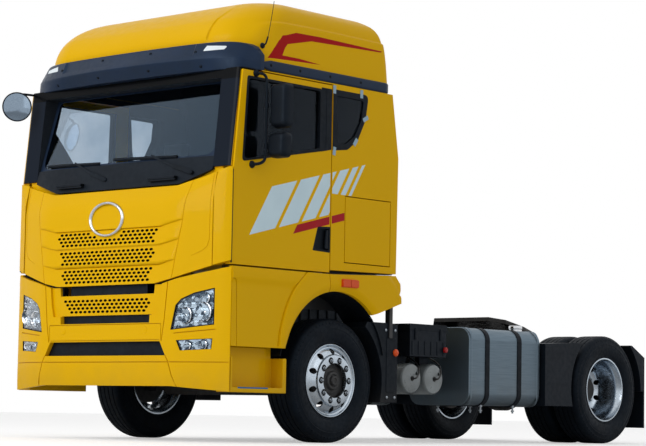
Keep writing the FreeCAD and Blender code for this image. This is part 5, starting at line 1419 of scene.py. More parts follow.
def side_marker(shape):
    """An amber lamp with two cells on a base."""
    solid(shape, oblong((-35, 166), (1260, 1328), 8, 3), 1234, 1270)
    for first, last in ((-30, 62), (69, 161)):
        solid(shape, oblong((first, last), (1265, 1323), 6, 3), 1268, 1286)


edge_seal = prisms(([(-140, 1369), (677, 1402), (677, 1418), (-140, 1388)], 1150, 1200))
step_film = prisms((oblong((-1198, -862), (420, 431)), 1246, 1249))
step_fold = prisms(([(1112, -740), (1120, -760), (1120, -1100), (1134, -1180), (1112, -1240)], 431, 742),
                   axis="z")
for name, make, finish, body, slot, nodes, roll in (
        ("side_marker_lenses", side_marker, amber_lens, "chassis", "amber_lens", ["marker_lamps"], 4),
        ("cab_edge_seals", edge_seal, rubber_seal, "cab", "black_plastic", [], 0),
        ("arch_liners", liner, guard_plastic, "chassis", "black_plastic", [], 3),
        ("fender_stays", arch_stays, rail_coat, "chassis", "frame_paint", [], 3),
        ("noise_shields", noise_shield, guard_plastic, "chassis", "black_plastic", [], 3),
        ("fender_lips", top_lip, guard_plastic, "chassis", "black_plastic", [], 3),
        ("wheel_guards", wheel_guard, guard_plastic, "chassis", "black_plastic", ["front_mudguards"], 8),
        ("step_films", step_film, blue_film, "chassis", "strap_steel", [], 1),
        ("step_back_folds", step_fold, yellow, "chassis", "body_paint", [], 4)):
    finished(name, both(drawn(make)), finish, body, slot, *nodes, roll=roll)

# %% [markdown]
# ## The high roof
#
# The roof is one moulding. Its outline at each height is a rectangle with large front corners, and the
# heights between the measured ones follow a smooth curve. A pressed ledge runs along each side. The
# same rule, drawn in by the wall, gives the inner skin, so that the roof stays hollow.

# %% Roof
ROOF_LEVELS = [
    # height, half width, front, rear, front corner radius, rear corner radius
    (2912.3, 1240, 1190, 590, 380, 80), (3060, 1240, 1205, 574, 400, 80), (3200, 1240, 1190, 548, 400, 70),
    (3330, 1233, 1112, 516, 380, 60), (3410, 1208, 1012, 494, 340, 60), (3470, 1158, 912, 466, 300, 70),
    (3510, 1075, 820, 425, 260, 80), (3536, 950, 720, 370, 220, 90), (3556, 780, 600, 300, 180, 90),
    (3566, 620, 480, 230, 140, 90),
]
CREASE = [(-1120, 3080), (-1089, 3120), (-1053, 3195), (-1000, 3252), (-929, 3294), (-800, 3318),
          (-273, 3328), (600, 3324)]
ROOF_HEIGHTS = even(2912.3, 3300, 30) + even(3300, 3350, 7)[1:] + even(3350, 3540,
        24)[1:] + [3552, 3561, 3566]


def roof_ring(height, shrink):
    """The roof's outline at a height, as (across, behind) pairs, from the front's left corner round."""
    shrinks = (shrink, shrink, shrink, shrink / 2, shrink / 2)
    level = [along([(row[0], row[i]) for row in ROOF_LEVELS], height) for i in range(1, 6)]
    half, front, rear, bend, back = [size - less for size, less in zip(level, shrinks)]
    points = []
    for cx, cy, radius, start, steps in ((half - bend, bend - front, bend, 0, 14),
            (half - back, rear - back, back, 90, 6),
                                         (back - half, rear - back, back, 180, 6),
                                         (bend - half, bend - front, bend, 270, 14)):
        for i in range(steps + 1):
            turn = math.radians(start - 90 + 90 * i / steps)
            points.append((cx + radius * math.cos(turn), cy + radius * math.sin(turn)))
        if start == 0:
            press = 15 * share_of((height - 3110) / 60) * share_of((3545 - height) / 120)
            points.insert(0, (half - bend - 9, -front - press))
        if start == 270:
            points.append((bend - half + 9, -front - press))
        if start in (0, 180):
            low, high = (bend - front, rear - back) if start == 0 else (rear - back, bend - front)
            side = math.copysign(half, cx)
            points += [(side, low + (high - low) * i / 16) for i in range(1, 16)]
    return points


def pressed(x, a, z):
    """The ledge: above the crease the side steps in by 16 mm."""
    if abs(x) < 900 or z > 3500:
        return x
    step = share_of((z - along(CREASE, a)) / 12) * share_of((a + 1120) / 80)
    return x - math.copysign(16 * step, x)


def roof_skin(shape, shrink):
    """The outer skin, or the inner one where it is drawn in; it gives back its lower rim."""
    rows = []
    for height in ROOF_HEIGHTS:
        z = height - (shrink if height > 3000 else 0)
        rows.append([at(x if shrink else pressed(x, a, z), a, z) for x, a in roof_ring(height, shrink)])
    rows = skinned(shape, rows, capped=False)
    shape.faces.new(rows[-1])
    return rows[0]


roof_shape = bmesh.new()
outer_rim = roof_skin(roof_shape, 0)
inner_rim = roof_skin(roof_shape, 40)
for i in range(len(outer_rim)):
    j = (i + 1) % len(outer_rim)
    roof_shape.faces.new((outer_rim[i], outer_rim[j], inner_rim[j], inner_rim[i]))
bmesh.ops.recalc_face_normals(roof_shape, faces=roof_shape.faces)
roof_piece = linked("roof_moulding", roof_shape, roof_yellow, cab_lining)
roof_piece.data.shade_smooth()
for face in roof_piece.data.polygons:
    if face.normal.dot(face.center - Vector((0, at(0, -300, 0).y, 3.1))) < 0:
        face.material_index = 1
softened(roof_piece, 0)
handed(roof_piece, "cab", "body_paint", "roof")

# %% Antenna
aerial = drawn(pipe, [(1238, -990, 3108), (1262, -986, 3112), (1268, -975, 3135), (1268, -960, 3180)], 7)
pipe(aerial, [(1268, -960, 3178), (1268, -930, 3290), (1262, -890, 3474)], 2.5, 8)
turned(aerial, [(-4, 0), (-4, 24), (6, 22), (12, 12), (12, 0)], at(1240, -990, 3108), (1, 0, 0), 18)
finished("aerial", closed_up(aerial), rubber_seal, "cab", "black_plastic")

# %% [markdown]
# ## Sun visor
#
# The visor is a long moulding that wraps round the cab. Its section is a low lip, a crease and an upper
# panel that is let in, and the section travels along the plan of the cab and shrinks at its ends.

# %% Visor
VISOR = [
    # across, lip, crease and top edge ahead of the axle, and how far the section has its full height
    (0, 1300, 1362, 1288, 1.0), (200, 1299, 1360, 1287, 1.0), (400, 1294, 1350, 1282, 1.0),
    (600, 1285, 1332, 1273, 1.0),
    (785, 1272, 1308, 1258, 1.0), (900, 1260, 1286, 1240, 1.0), (1000, 1248, 1260, 1212, 1.0),
    (1090, 1230, 1232, 1172, 0.97),
    (1160, 1204, 1200, 1128, 0.9), (1210, 1170, 1164, 1090, 0.74), (1240, 1128, 1122, 1058, 0.5),
    (1256, 1076, 1074, 1040, 0.3),
    (1260, 1030, 1030, 1028, 0.2),
]
VISOR_LET_IN = 772


def visor_section(x):
    """The outline of the visor's section at a place, as (ahead, height) pairs."""
    lip, crease, top, full = [along([(row[0], row[i]) for row in VISOR], abs(x)) for i in range(1, 5)]
    low, mid, high = 2906, 3001, 2906 + 95 + 133 * full
    if full < 0.999:
        low, mid = low + 6 * (1 - full), mid - 55 * (1 - full)
    let_in = 17 * share_of((VISOR_LET_IN - abs(x)) / 14)
    step_at = 0.24
    ahead_at = crease + (top - crease) * step_at
    height_at = mid + (high - mid) * step_at
    back = 96 if full > 0.9 else 30 + 60 * full
    return [
        (lip - back, low - 2), (lip - 4, low - 2), (lip, low + 2),
        (lip + (crease - lip) * 0.86, low + (mid - low) * 0.8),
        (crease - 1, mid - 4), (crease, mid + 2), (ahead_at, height_at), (ahead_at - let_in, height_at + 2),
        (top - let_in * 0.6, high - 10), (top - 5 - let_in * 0.4, high - 2), (top - 14, high),
        (top - back, high + 3),
    ]


visor_shape = bmesh.new()
places = sorted(set([-p for p in even(0, 1260, 42)] + even(0, 1260,
        42) + [s * v for s in (1, -1) for v in (756, 760, 774, 778)]))
skinned(visor_shape, [[at(x, -a, z) for a, z in visor_section(x)] for x in places])
finished("sun_visor_moulding", visor_shape, visor_plastic, "cab", "dark_trim", "sun_visor")


# %% Visor lamps and screws
def visor_ahead(x, height):
    """The visor's face at a height."""
    section = visor_section(x)[2:10]
    for (a0, z0), (a1, z1) in zip(section, section[1:]):
        if z0 <= height <= z1 and z1 > z0:
            return a0 + (a1 - a0) * (height - z0) / (z1 - z0)
    return section[-1][0]


lamp_shape = drawn(solid, eased([(862, 3062, 8), (1046, 3066, 14), (1062, 3094, 14), (886, 3106, 8)], 8,
        3), -1.5, 8, axis="y")
visor_lamp = linked("visor_lamps", lamp_shape, white_lens)
cut_for_bending(visor_lamp, 20, 200)
bent(visor_lamp, visor_ahead)
mirror_piece(visor_lamp)
softened(visor_lamp, 0)
handed(visor_lamp, "cab", "lamp_lens")

screw_shape = bmesh.new()
for x, z in ((284, 3092), (790, 3058), (298, 2955), (846, 2944)):
    for side in (1, -1):
        turned(screw_shape, [(6, 0), (6, 15), (-2, 13), (-4, 8), (0, 5), (0, 0)],
               at(side * x, -visor_ahead(x, z), z), (0, 1, 0), 14)
finished("visor_screws", closed_up(screw_shape), rubber_seal, "cab", "black_plastic")

# %% [markdown]
# ## Windscreen and wipers
#
# The pane bows forward in its middle. A ceramic border with round corners is printed on it, and two
# wipers park on its lower edge, each a bent arm with a blade. Two grips stand on the panel below.

# %% Windscreen border
def screen_ahead(x, height):
    """The windscreen's face: it leans back and bows towards its middle."""
    share = min(1.0, (x / 1041) ** 2)
    t = (height - 2222) / 618
    return (1320 - 45 * share) * (1 - t) + (1106 - 11 * share) * t


border_shape = drawn(solid, oblong((-1040.5, 1040.5), (2222, 2839)), -3, -0.5, axis="y")
border = linked("windscreen_border", border_shape, visor_plastic)
opening = eased([(-1012, 2236, 95), (1012, 2236, 95), (1002, 2824, 40), (-1002, 2824, 40)], 40, 8)
carved(border, punch(opening))
cut_for_bending(border, 60, 90)
bent(border, screen_ahead)
softened(border, 0)
handed(border, "cab", "dark_trim")


# %% Wipers and grips
FOUR_CORNERS = ((1, 1), (1, -1), (-1, -1), (-1, 1))


def beam(shape, first, last, width, height):
    """A slim box from one place to another."""
    start, end = at(*first), at(*last)
    run = (end - start).normalized()
    side = run.cross(Vector((0, -1, 0.15))).normalized() * width / 2000
    out = side.cross(run).normalized() * height / 2000
    skinned(shape, [[p + side * i + out * j for i, j in FOUR_CORNERS] for p in (start, end)])


wiper_shape = bmesh.new()
for pivot_x, head_x, low_x, high_x in ((-150, -560, -930, -250), (841, 360, -80, 640)):
    head = (head_x, -screen_ahead(head_x, 2262) - 26, 2262)
    beam(wiper_shape, (pivot_x, -1358, 2098), (pivot_x + (head_x - pivot_x) * 0.45, -1352, 2164), 34, 12)
    beam(wiper_shape, (pivot_x + (head_x - pivot_x) * 0.43, -1352, 2160), head, 18, 10)
    turned(wiper_shape, [(-12, 0), (-12, 18), (4, 17), (8, 10), (8, 0)], at(pivot_x, -1355, 2098),
           (0, -1, 0.17), 18)
    middle = (low_x + high_x) / 2
    for first, last in ((low_x, middle), (middle, high_x)):
        ends = [(x, -screen_ahead(x, 2240 + abs(x - middle) * 0.03) - 14,
                 2248 - (x - middle) * 0.03) for x in (first, last)]
        beam(wiper_shape, ends[0], ends[1], 26, 8)
        spine = [(x, y - 8, z) for x, y, z in ends]
        beam(wiper_shape, spine[0], spine[1], 10, 12)
finished("wipers", closed_up(wiper_shape), rubber_seal, "cab", "black_plastic", roll=2)

grip_shape = bmesh.new()
for x in (-555, 540):
    for low, high, out in ((2046, 2060, 1388), (2060, 2078, 1394)):
        solid(grip_shape, eased([(x - 150, low), (x + 150, low), (x + 158, high), (x - 158, high)], 4, 2),
              -out, -1352, axis="y")
finished("cowl_grips", closed_up(grip_shape), black_plastic, "cab", "black_plastic", roll=5)

# %% [markdown]
# ## Wheels and tyres
#
# A forged aluminium wheel is a turned shape, so one profile goes round the axle. The hand holes and
# the seats of the nuts repeat, and a Geometry Nodes ring places their cutters and the nuts alike.
# The tyre is a profile too: bead, sidewall with two fine rings, shoulder, and ribs with grooves.

# %% A ring of equal parts
def ring_of_parts():
    """A tree that sets copies of a part round the X axis, each turned with its place."""
    tree = bpy.data.node_groups.new("Ring of parts", "GeometryNodeTree")
    sockets = tree.interface
    for label, kind in (("Count", "Int"), ("Radius", "Float"), ("Turn", "Float"), ("Centre", "Vector"),
                        ("Part", "Object"), ("Finish", "Material")):
        sockets.new_socket(label, in_out="INPUT", socket_type="NodeSocket" + kind)
    sockets.new_socket("Geometry", in_out="OUTPUT", socket_type="NodeSocketGeometry")
    given = add(tree, "NodeGroupInput").outputs
    spots = add(tree, "GeometryNodeMeshLine", {"Count": given["Count"], "Offset": (0, 0, 0)})
    index = add(tree, "GeometryNodeInputIndex").outputs[0]
    turn = figured(tree, "MULTIPLY_ADD", figured(tree, "DIVIDE", index, given["Count"]), math.tau,
                   given["Turn"])
    angles = add(tree, "ShaderNodeCombineXYZ", {"X": turn}).outputs[0]
    arm = add(tree, "ShaderNodeCombineXYZ", {"Z": given["Radius"]}).outputs[0]
    swung = add(tree, "ShaderNodeVectorRotate", {"Vector": arm, "Rotation": angles},
                rotation_type="EULER_XYZ").outputs[0]
    spot = add(tree, "ShaderNodeVectorMath", {0: swung, 1: given["Centre"]}, operation="ADD").outputs[0]
    moved = add(tree, "GeometryNodeSetPosition", {"Geometry": spots.outputs[0], "Position": spot})
    part = add(tree, "GeometryNodeObjectInfo", {"Object": given["Part"]}).outputs["Geometry"]
    copies = add(tree, "GeometryNodeInstanceOnPoints",
                 {"Points": moved.outputs[0], "Instance": part, "Rotation": angles})
    real = add(tree, "GeometryNodeRealizeInstances", {"Geometry": copies.outputs[0]})
    dressed_up = add(tree, "GeometryNodeSetMaterial",
                     {"Geometry": real.outputs[0], "Material": given["Finish"]})
    add(tree, "NodeGroupOutput", {"Geometry": dressed_up.outputs[0]})
    return tree


parts_ring = ring_of_parts()


def ring_piece(name, part, count, radius, centre, finish, turn=0.0):
    """Equal parts round a centre; the part is drawn at the origin with +Z away from the axis."""
    return grown(name, parts_ring, Count=count, Radius=radius / 1000, Turn=turn, Centre=centre, Part=part,
                 Finish=finish)


# %% Profiles of the wheel and the tyre
RIM_FACE = [
    (114.5, 285.7), (114.5, 298.5), (122, 298.5), (126, 296.5), (127, 293), (125, 289), (119, 286),
    (113, 281), (108, 273),
    (108, 268), (112, 262), (124, 252), (134, 242), (141, 230), (146, 219), (150, 212),
    (156, 209), (169, 207.5),
    (172, 204), (172, 144),
    (170.5, 141), (152, 140.5),
]
RIM_BACK = [
    (152, 198.5), (125, 234), (95, 250), (-62, 250), (-85, 272), (-127, 286.5), (-127, 298.5),
    (-114.5, 298.5),
    (-114.5, 285.7), (-75, 285.7), (-55, 262), (45, 262), (65, 285.7), (114.5, 285.7),
]
NUT_RADIUS, NUT_COUNT, HAND_HOLE_RADIUS = 167.5, 10, 236
TYRE_SIDE = [
    (114.2, 286), (114.2, 302), (122, 305), (127, 308), (129, 314), (127.5, 318), (134, 326),
    (141, 346), (146, 370),
    (149, 396), (148.6, 414), (147, 417), (149, 421), (149, 427), (146.5, 431), (143.5, 450),
    (141, 456), (142.5, 460),
    (140.5, 470), (134, 486), (126, 494), (116, 500), (104, 503.5),
]
TREAD_GROOVES = ((80, 70), (30, 20), (-20, -30), (-70, -80))


def tyre_profile():
    tread = []
    for start, end in TREAD_GROOVES:
        tread += [(start, 504.6), (start - 1.5, 491), (end + 1.5, 491), (end, 504.6)]
    inner = [(-92, 286), (-92, 310), (-127, 396), (-101, 473), (101, 473), (127, 396), (92, 310), (92, 286)]
    return TYRE_SIDE + tread + [(-a, r) for a, r in reversed(TYRE_SIDE)] + inner + [TYRE_SIDE[0]]


# %% One tyre and one rim
def small_part(profile, finish, steps=12, direction=(1, 0, 0)):
    """A turned part at the origin, in millimetres, for use in a ring."""
    shape = drawn(turned, profile, Vector((0, 0, 0)), direction, steps)
    closed_up(shape)
    return linked("part", shape, finish)


def merged(shape, piece):
    """Put a piece's mesh into a bmesh and remove the piece."""
    shape.from_mesh(piece.data)
    discarded(piece)


def hub_centre(x, axle):
    return Vector((x / 1000, axle, AXLE_HEIGHT / 1000))


def tyre_shape(shape, x, axle, drive):
    """A tyre with lugs at its shoulders, which reach further in on a drive axle."""
    centre = hub_centre(x, axle)
    turned(shape, tyre_profile(), centre, (1, 0, 0), 112)
    lug = bmesh.new()
    corners = [(-6, -6), (6, -6), (4, 6), (-4, 6)]
    ends = ((145, -34), (108, -2)) if drive else ((146, -36), (128, -11))
    for side in (1, -1):
        skinned(lug, [[(side * u / 1000, dy / 1000, (drop + dz * 0.45) / 1000) for dy,
                       dz in corners] for u, drop in ends])
    lug_part = linked("part", lug, rubber)
    merged(shape, ring_piece("lugs", lug_part, 72, 500, centre, rubber))
    discarded(lug_part)


def ring_cutter(profile, radius, centre, turn=0.0):
    """Round cutters in a ring, one for each nut; their dark finish goes onto the walls they cut, as painted shade
    in the holes.
    """
    tool = small_part(profile, cast_iron, 20)
    ring = ring_piece("cutters", tool, NUT_COUNT, radius, centre, cast_iron, turn)
    discarded(tool)
    return ring


def rim_piece(x, axle, facing):
    centre = hub_centre(x, axle)
    shape = drawn(turned, RIM_FACE + RIM_BACK, centre, (facing, 0, 0), 96)
    rim = linked("rim", closed_up(shape), wheel_aluminium)
    holes = ring_cutter([(-60, 0), (-60, 25), (60, 25), (60, 0)], HAND_HOLE_RADIUS,
                        centre + Vector((facing * 0.13, 0, 0)))
    seats = ring_cutter([(-15, 0), (-15, 27), (9, 29), (9, 0)], NUT_RADIUS,
                        centre + Vector((facing * 0.172, 0, 0)),
                        math.pi / NUT_COUNT)
    # The walls of the hand holes and the nut seats take the cutters' dark cast iron: painted shade inside the
    # holes.
    carved(rim, holes, seats, faces="TRANSFER")
    return softened(rim, 2, angle=50)


def nut_ring(x, axle, facing, name):
    """Hexagon nuts with a round washer and the end of the stud."""
    shape = drawn(turned, [(-4, 0), (-4, 18), (1, 18), (2, 17), (2, 0)], Vector((0, 0, 0)),
                  (facing, 0, 0), 18)
    turned(shape, [(2, 0), (2, 16.5), (20, 16.5), (23, 13), (23, 0)], Vector((0, 0, 0)), (facing, 0, 0), 6)
    turned(shape, [(23, 0), (23, 9.5), (34, 9.5), (35, 8), (35, 0)], Vector((0, 0, 0)), (facing, 0, 0), 12)
    closed_up(shape)
    nut = linked("part", shape, plated_nut)
    nuts = ring_piece(name, nut, NUT_COUNT, NUT_RADIUS, hub_centre(x, axle), plated_nut,
                      math.pi / NUT_COUNT)
    discarded(nut)
    return softened(nuts, 0)


# %% Set up all wheels
FRONT_HUB = [(-4, 0), (-4, 196), (88, 196), (90, 193), (90, 150), (116, 148), (126, 139),
             (126, 112), (132, 106),
             (134, 80), (140, 76), (152, 72), (158, 66), (158, 52), (150, 50), (150, 42), (170, 40),
             (176, 34), (176, 22),
             (168, 18), (168, 0)]
REAR_HUB = [(-290, 0), (-290, 196), (-62, 196), (-60, 150), (-22, 188), (-20, 139), (26, 138),
            (30, 130), (30, 118),
            (96, 112), (106, 100), (108, 92), (108, 0)]
DRIVE_OFFSET, DRIVE_MIDDLE, STEER_MIDDLE = 172, 915, 1010


def wheel_set(side, end, many, axle, rims, hub, hub_at, nuts_at, *finishes):
    """What turns at one end of an axle; rims are places with the way each faces, many marks twins."""
    hand = "left" if side > 0 else "right"
    body = "%s_%s_wheel%s" % (end, hand, many)
    label = "%s_%s_%s" % (many, end, hand)
    tyre_mesh, rim_mesh = bmesh.new(), bmesh.new()
    for place, facing in rims:
        tyre_shape(tyre_mesh, side * place, axle, bool(many))
        merged(rim_mesh, rim_piece(side * place, axle, side * facing))
    finished("ribbed_tyre" + label, tyre_mesh, rubber, body, "tyre_rubber", "tyre" + label)
    rim = softened(linked("forged_rim" + label, rim_mesh, *finishes), 0)
    handed(rim, body, "wheel_aluminium", "wheel" + label)
    hub_mesh = closed_up(drawn(turned, hub, hub_centre(side * hub_at, axle), (side, 0, 0), 64))
    finished("wheel_hub_%s_%s" % (end, hand), hub_mesh, cast_iron, body, "cast_metal", roll=2)
    nuts = nut_ring(side * nuts_at, axle, side, "wheel_nuts_%s_%s" % (end, hand))
    handed(nuts, body, "spring_steel")


for side in (1, -1):
    # The front rim's second finish, cast iron, is the painted shade on the walls of its holes.
    wheel_set(side, "front", "", FRONT_AXLE, [(STEER_MIDDLE, 1)], FRONT_HUB, STEER_MIDDLE,
              STEER_MIDDLE + 158,
              wheel_aluminium, cast_iron)
    wheel_set(side, "rear", "s", REAR_AXLE,
              [(DRIVE_MIDDLE + DRIVE_OFFSET, -1), (DRIVE_MIDDLE - DRIVE_OFFSET, 1)],
              REAR_HUB, DRIVE_MIDDLE, DRIVE_MIDDLE + 20, wheel_aluminium)

# %% [markdown]
# ## Along the rails
#
# The tank is a welded box with rolled seams near its ends, held by straps whose studs are pulled tight
# underneath. The air tanks show their pressed ends with a boss and an elbow, and round amber lamps
# sit on the guards. All of these are small turned parts and beams.

# %% Tank seams, studs and cap
def tank_band(shape, a, width, inner, outer, low, high, radius, rise):
    """A raised band round the tank's section at a place."""
    rows = []
    for place, out in ((a - width, 0.2), (a - width * 0.5, rise), (a + width * 0.5, rise),
                       (a + width, 0.2)):
        outline = oblong((inner - out, outer + out), (low - out, high + out), radius + out, 8)
        rows.append([at(x, place, z) for x, z in outline])
    skinned(shape, rows, capped=False)


tank_low, tank_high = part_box("fuel_tanks")
TANK = [tank_high[0] * 1000, tank_low[2] * 1000, tank_high[2] * 1000,
        (tank_low[1] - FRONT_AXLE) * 1000, (tank_high[1] - FRONT_AXLE) * 1000]
TANK_INNER, TANK_CORNER = 560, 90
print("tank", [round(v) for v in TANK])
seam_shape = bmesh.new()
for place in (TANK[3] + 34, TANK[4] - 34):
    tank_band(seam_shape, place, 11, TANK_INNER, TANK[0], TANK[1], TANK[2], TANK_CORNER, 4)
finished("tank_seams", both(seam_shape), tank_aluminium, "chassis", "tank_aluminium")

cap_shape = drawn(turned, [(-30, 0), (-30, 58), (18, 58), (22, 62), (44, 62), (50, 54), (50, 0)],
                  at(1040, 2620, TANK[2]),
       (0, 0, 1), 32)
closed_up(cap_shape)
finished("tank_caps", both(cap_shape), bright_metal, "chassis", "tank_aluminium", roll=2)

stud_shape = bmesh.new()
for place in (2010, 2480):
    for x in (1120, 640):
        turned(stud_shape, [(-8, 0), (-8, 16), (10, 16), (10, 8), (62, 8), (62, 0)],
               at(x, place, TANK[1] - 2), (0, 0, -1), 8)
        turned(stud_shape, [(34, 0), (34, 15), (48, 15), (48, 0)], at(x, place, TANK[1] - 2), (0, 0, -1), 6)
closed_up(stud_shape)
finished("strap_studs", both(stud_shape), plated_nut, "chassis", "strap_steel")

# %% Ends of the air tanks
AIR_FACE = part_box("air_tanks")[1][0] * 1000
end_shape = bmesh.new()
elbow_shape = bmesh.new()
for place in (1059, 1358):
    turned(end_shape, [(-34, 131.8), (-30, 133), (-24, 133), (-20, 131.8)], at(AIR_FACE, place, 547),
           (1, 0, 0), 48)
    turned(elbow_shape, [(-12, 0), (-12, 24), (2, 24), (2, 15), (14, 15), (14, 0)],
           at(AIR_FACE, place, 547), (1, 0, 0), 6)
    turned(elbow_shape, [(-8, 0), (-8, 15), (6, 15), (6, 0)],
           at(AIR_FACE - 6, place + 58, 590), (1, 0, 0), 6)
    pipe(elbow_shape, [(AIR_FACE + 8, place, 547), (AIR_FACE + 30, place, 547),
                       (AIR_FACE + 34, place + 18, 552),
                       (AIR_FACE + 20, place + 70, 590), (AIR_FACE - 40, place + 120, 690),
                       (AIR_FACE - 160, place + 130, 730)], 7)
finished("air_tank_rims", end_shape, air_tank_paint, "chassis", "air_tank_paint")
finished("air_fittings", elbow_shape, strap_steel, "chassis", "strap_steel")

# %% Battery box details
box_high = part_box("battery_box")[1]
BOX_OUT, BOX_TOP = box_high[0] * 1000, box_high[2] * 1000
lid_shape = drawn(block, (560, BOX_OUT + 3), (980, 1487), (BOX_TOP - 52, BOX_TOP + 4))
for a in (1060, 1400):
    block(lid_shape, (BOX_OUT, BOX_OUT + 9), (a - 14, a + 14), (BOX_TOP - 130, BOX_TOP - 30))
for a in even(1020, 1440, 84):
    block(lid_shape, (BOX_OUT - 1, BOX_OUT + 4), (a - 8, a + 8), (750, BOX_TOP - 140))
finished("battery_lid", lid_shape, guard_plastic, "chassis", "black_plastic", roll=4)
finished("battery_switch", closed_up(drawn(turned,
        [(-6, 0), (-6, 18), (4, 18), (8, 26), (24, 24), (28, 16), (28, 0)], at(BOX_OUT, 1452, 800),
        (1, 0, 0), 20)), red_lens, "chassis", "red_lens", roll=1)

# %% Round amber lamps and bolts on the guards
lamp_dots = bmesh.new()
bolt_dots = bmesh.new()
for x, a, z in ((1196, 742, 754), (1213, 3234, 858)):
    turned(lamp_dots, [(-6, 0), (-6, 31), (8, 31), (16, 24), (20, 12), (21, 0)], at(x, a, z), (1, 0, 0), 28)
for x, a, z in ((1192, 620, 940), (1192, 740, 940), (1192, 740, 380), (1192, 640, 380), (1207, 2850, 830),
                (1207, 2850, 420),
                (1207, 3150, 420)):
    turned(bolt_dots, [(-6, 0), (-6, 13), (3, 13), (6, 9), (6, 0)], at(x, a, z), (1, 0, 0), 8)
for shape, name, finish, slot in ((lamp_dots, "round_amber_lamps", amber_lens, "amber_lens"),
                                  (bolt_dots, "guard_bolts", plated_nut, "strap_steel")):
    closed_up(shape)
    both(shape)
    finished(name, shape, finish, "chassis", slot)

# %% [markdown]
# ## Inside the cab
#
# Two seats and a bunk are foam under woven cloth. Each cushion is a closed form with rounded edges: its
# top is crowned, its sides pull in between the corners, and sewn channels press lines into it. They are
# shaped by rule and not by cloth simulation, because behind tinted glass the rule looks the same.
# The steering wheel is a ring with three spokes, and the dashboard is one moulding with a hood.

# %% A cushion
CHANNEL_DEPTH = 9


def cushion(name, centre, half, crown, lean, channels=(), along_y=()):
    """A padded form round a centre, in millimetres; it leans back by an angle in degrees."""
    shape = bmesh.new()
    bmesh.ops.create_cube(shape, size=2)
    bmesh.ops.subdivide_edges(shape, edges=shape.edges, cuts=34, use_grid_fill=True)
    turn = Matrix.Rotation(math.radians(lean), 3, "X")
    for vert in shape.verts:
        u, v, w = vert.co
        bulk = (abs(u) ** 7 + abs(v) ** 7 + abs(w) ** 7) ** (1 / 7)
        u, v, w = u / bulk, v / bulk, w / bulk
        x = u * half[0] * (1 - 0.03 * (1 - v * v))
        y = v * half[1] * (1 - 0.035 * (1 - u * u))
        z = w * half[2]
        if w > 0:
            z += crown * w * (1 - u * u) * (1 - v * v)
            for channel in channels:
                z -= CHANNEL_DEPTH * w * math.exp(-((x - channel) / 9) ** 2)
            for channel in along_y:
                z -= CHANNEL_DEPTH * w * math.exp(-((y - channel) / 9) ** 2)
        vert.co = Vector(at(*centre)) + turn @ Vector((x, y, z)) / 1000
    piece = finished(name, shape, cloth, "cab", "seat_fabric")


# %% Seats and bunk
for side, ending in ((1, "left"), (-1, "right")):
    x = side * 605
    cushion("seat_cushion_" + ending, (x, -455, 1812), (250, 232, 58), 16, -3, (-150, 150))
    cushion("seat_back_" + ending, (x, -152, 2130), (238, 248, 52), 14, 85, (-140, 140), (-80, 40, 150))
    cushion("head_rest_" + ending, (x, -118, 2478), (135, 72, 40), 8, 85)
base_shape = bmesh.new()
for x in (605, -605):
    block(base_shape, (x - 190, x + 190), (-590, -262), (1441, 1500))
    solid(base_shape, [(-600, 1500), (-255, 1500), (-240, 1752), (-640, 1752)], x - 215, x + 215)
    block(base_shape, (x - 40, x + 40), (-140, -120), (2370, 2430))
finished("seat_bases", base_shape, black_plastic, "cab", "black_plastic", "seats_and_bunk", roll=14)
cushion("bunk_mattress", (0, 312, 2098), (1148, 268, 52), 12, 0, (-760, -380, 0, 380, 760))
finished("bunk_board", drawn(block, (-1160, 1160), (34, 590), (2037, 2054)), cab_lining, "cab",
         "black_plastic", roll=6)

# %% Dashboard and steering wheel
dash_shape = drawn(solid, [(-1215, 1905), (-1215, 2138), (-1150, 2162), (-905, 2096), (-872, 2060),
        (-868, 1930), (-980, 1806)],
      -1112, 1112)
solid(dash_shape, [(-1110, 2100), (-1040, 2196), (-930, 2176), (-905, 2080)], 395, 805)
for x in (-900, -420, 60, 1000):
    solid(dash_shape, oblong((x - 88, x + 88), (1978, 2046), 12, 3), -882, -866, axis="y")
finished("dash_moulding", dash_shape, black_plastic, "cab", "black_plastic", "dashboard", roll=12)
wheel_shape = bmesh.new()
wheel_axis = Vector((0, -math.sin(math.radians(25)), math.cos(math.radians(25))))
wheel_place = at(600, -800, 2120)
ring_turns = [math.tau * i / 14 for i in range(15)]
ring_profile = [(16 * math.sin(turn), 215 + 16 * math.cos(turn)) for turn in ring_turns]
turned(wheel_shape, ring_profile, wheel_place, wheel_axis, 64)
turned(wheel_shape, [(-34, 0), (-34, 66), (-6, 74), (4, 64), (6, 0)], wheel_place - wheel_axis * 0.012,
       wheel_axis, 40)
turned(wheel_shape, [(-300, 0), (-300, 40), (-30, 36), (-30, 0)], wheel_place, wheel_axis, 24)
closed_up(wheel_shape)
for turn in (0, 180, 270):
    arm = Matrix.Rotation(math.radians(turn), 3, wheel_axis) @ Vector((1, 0, 0))
    side_way = wheel_axis.cross(arm)
    rows = []
    for reach, wide in ((0.05, 0.026), (0.21, 0.017)):
        middle = wheel_place + arm * reach - wheel_axis * 0.012
        rows.append([middle + side_way * i * wide + wheel_axis * j * 0.007 for i, j in FOUR_CORNERS])
    skinned(wheel_shape, rows)
finished("steering_wheel", wheel_shape, rubber_seal, "cab", "black_plastic", roll=1.5, angle=50)

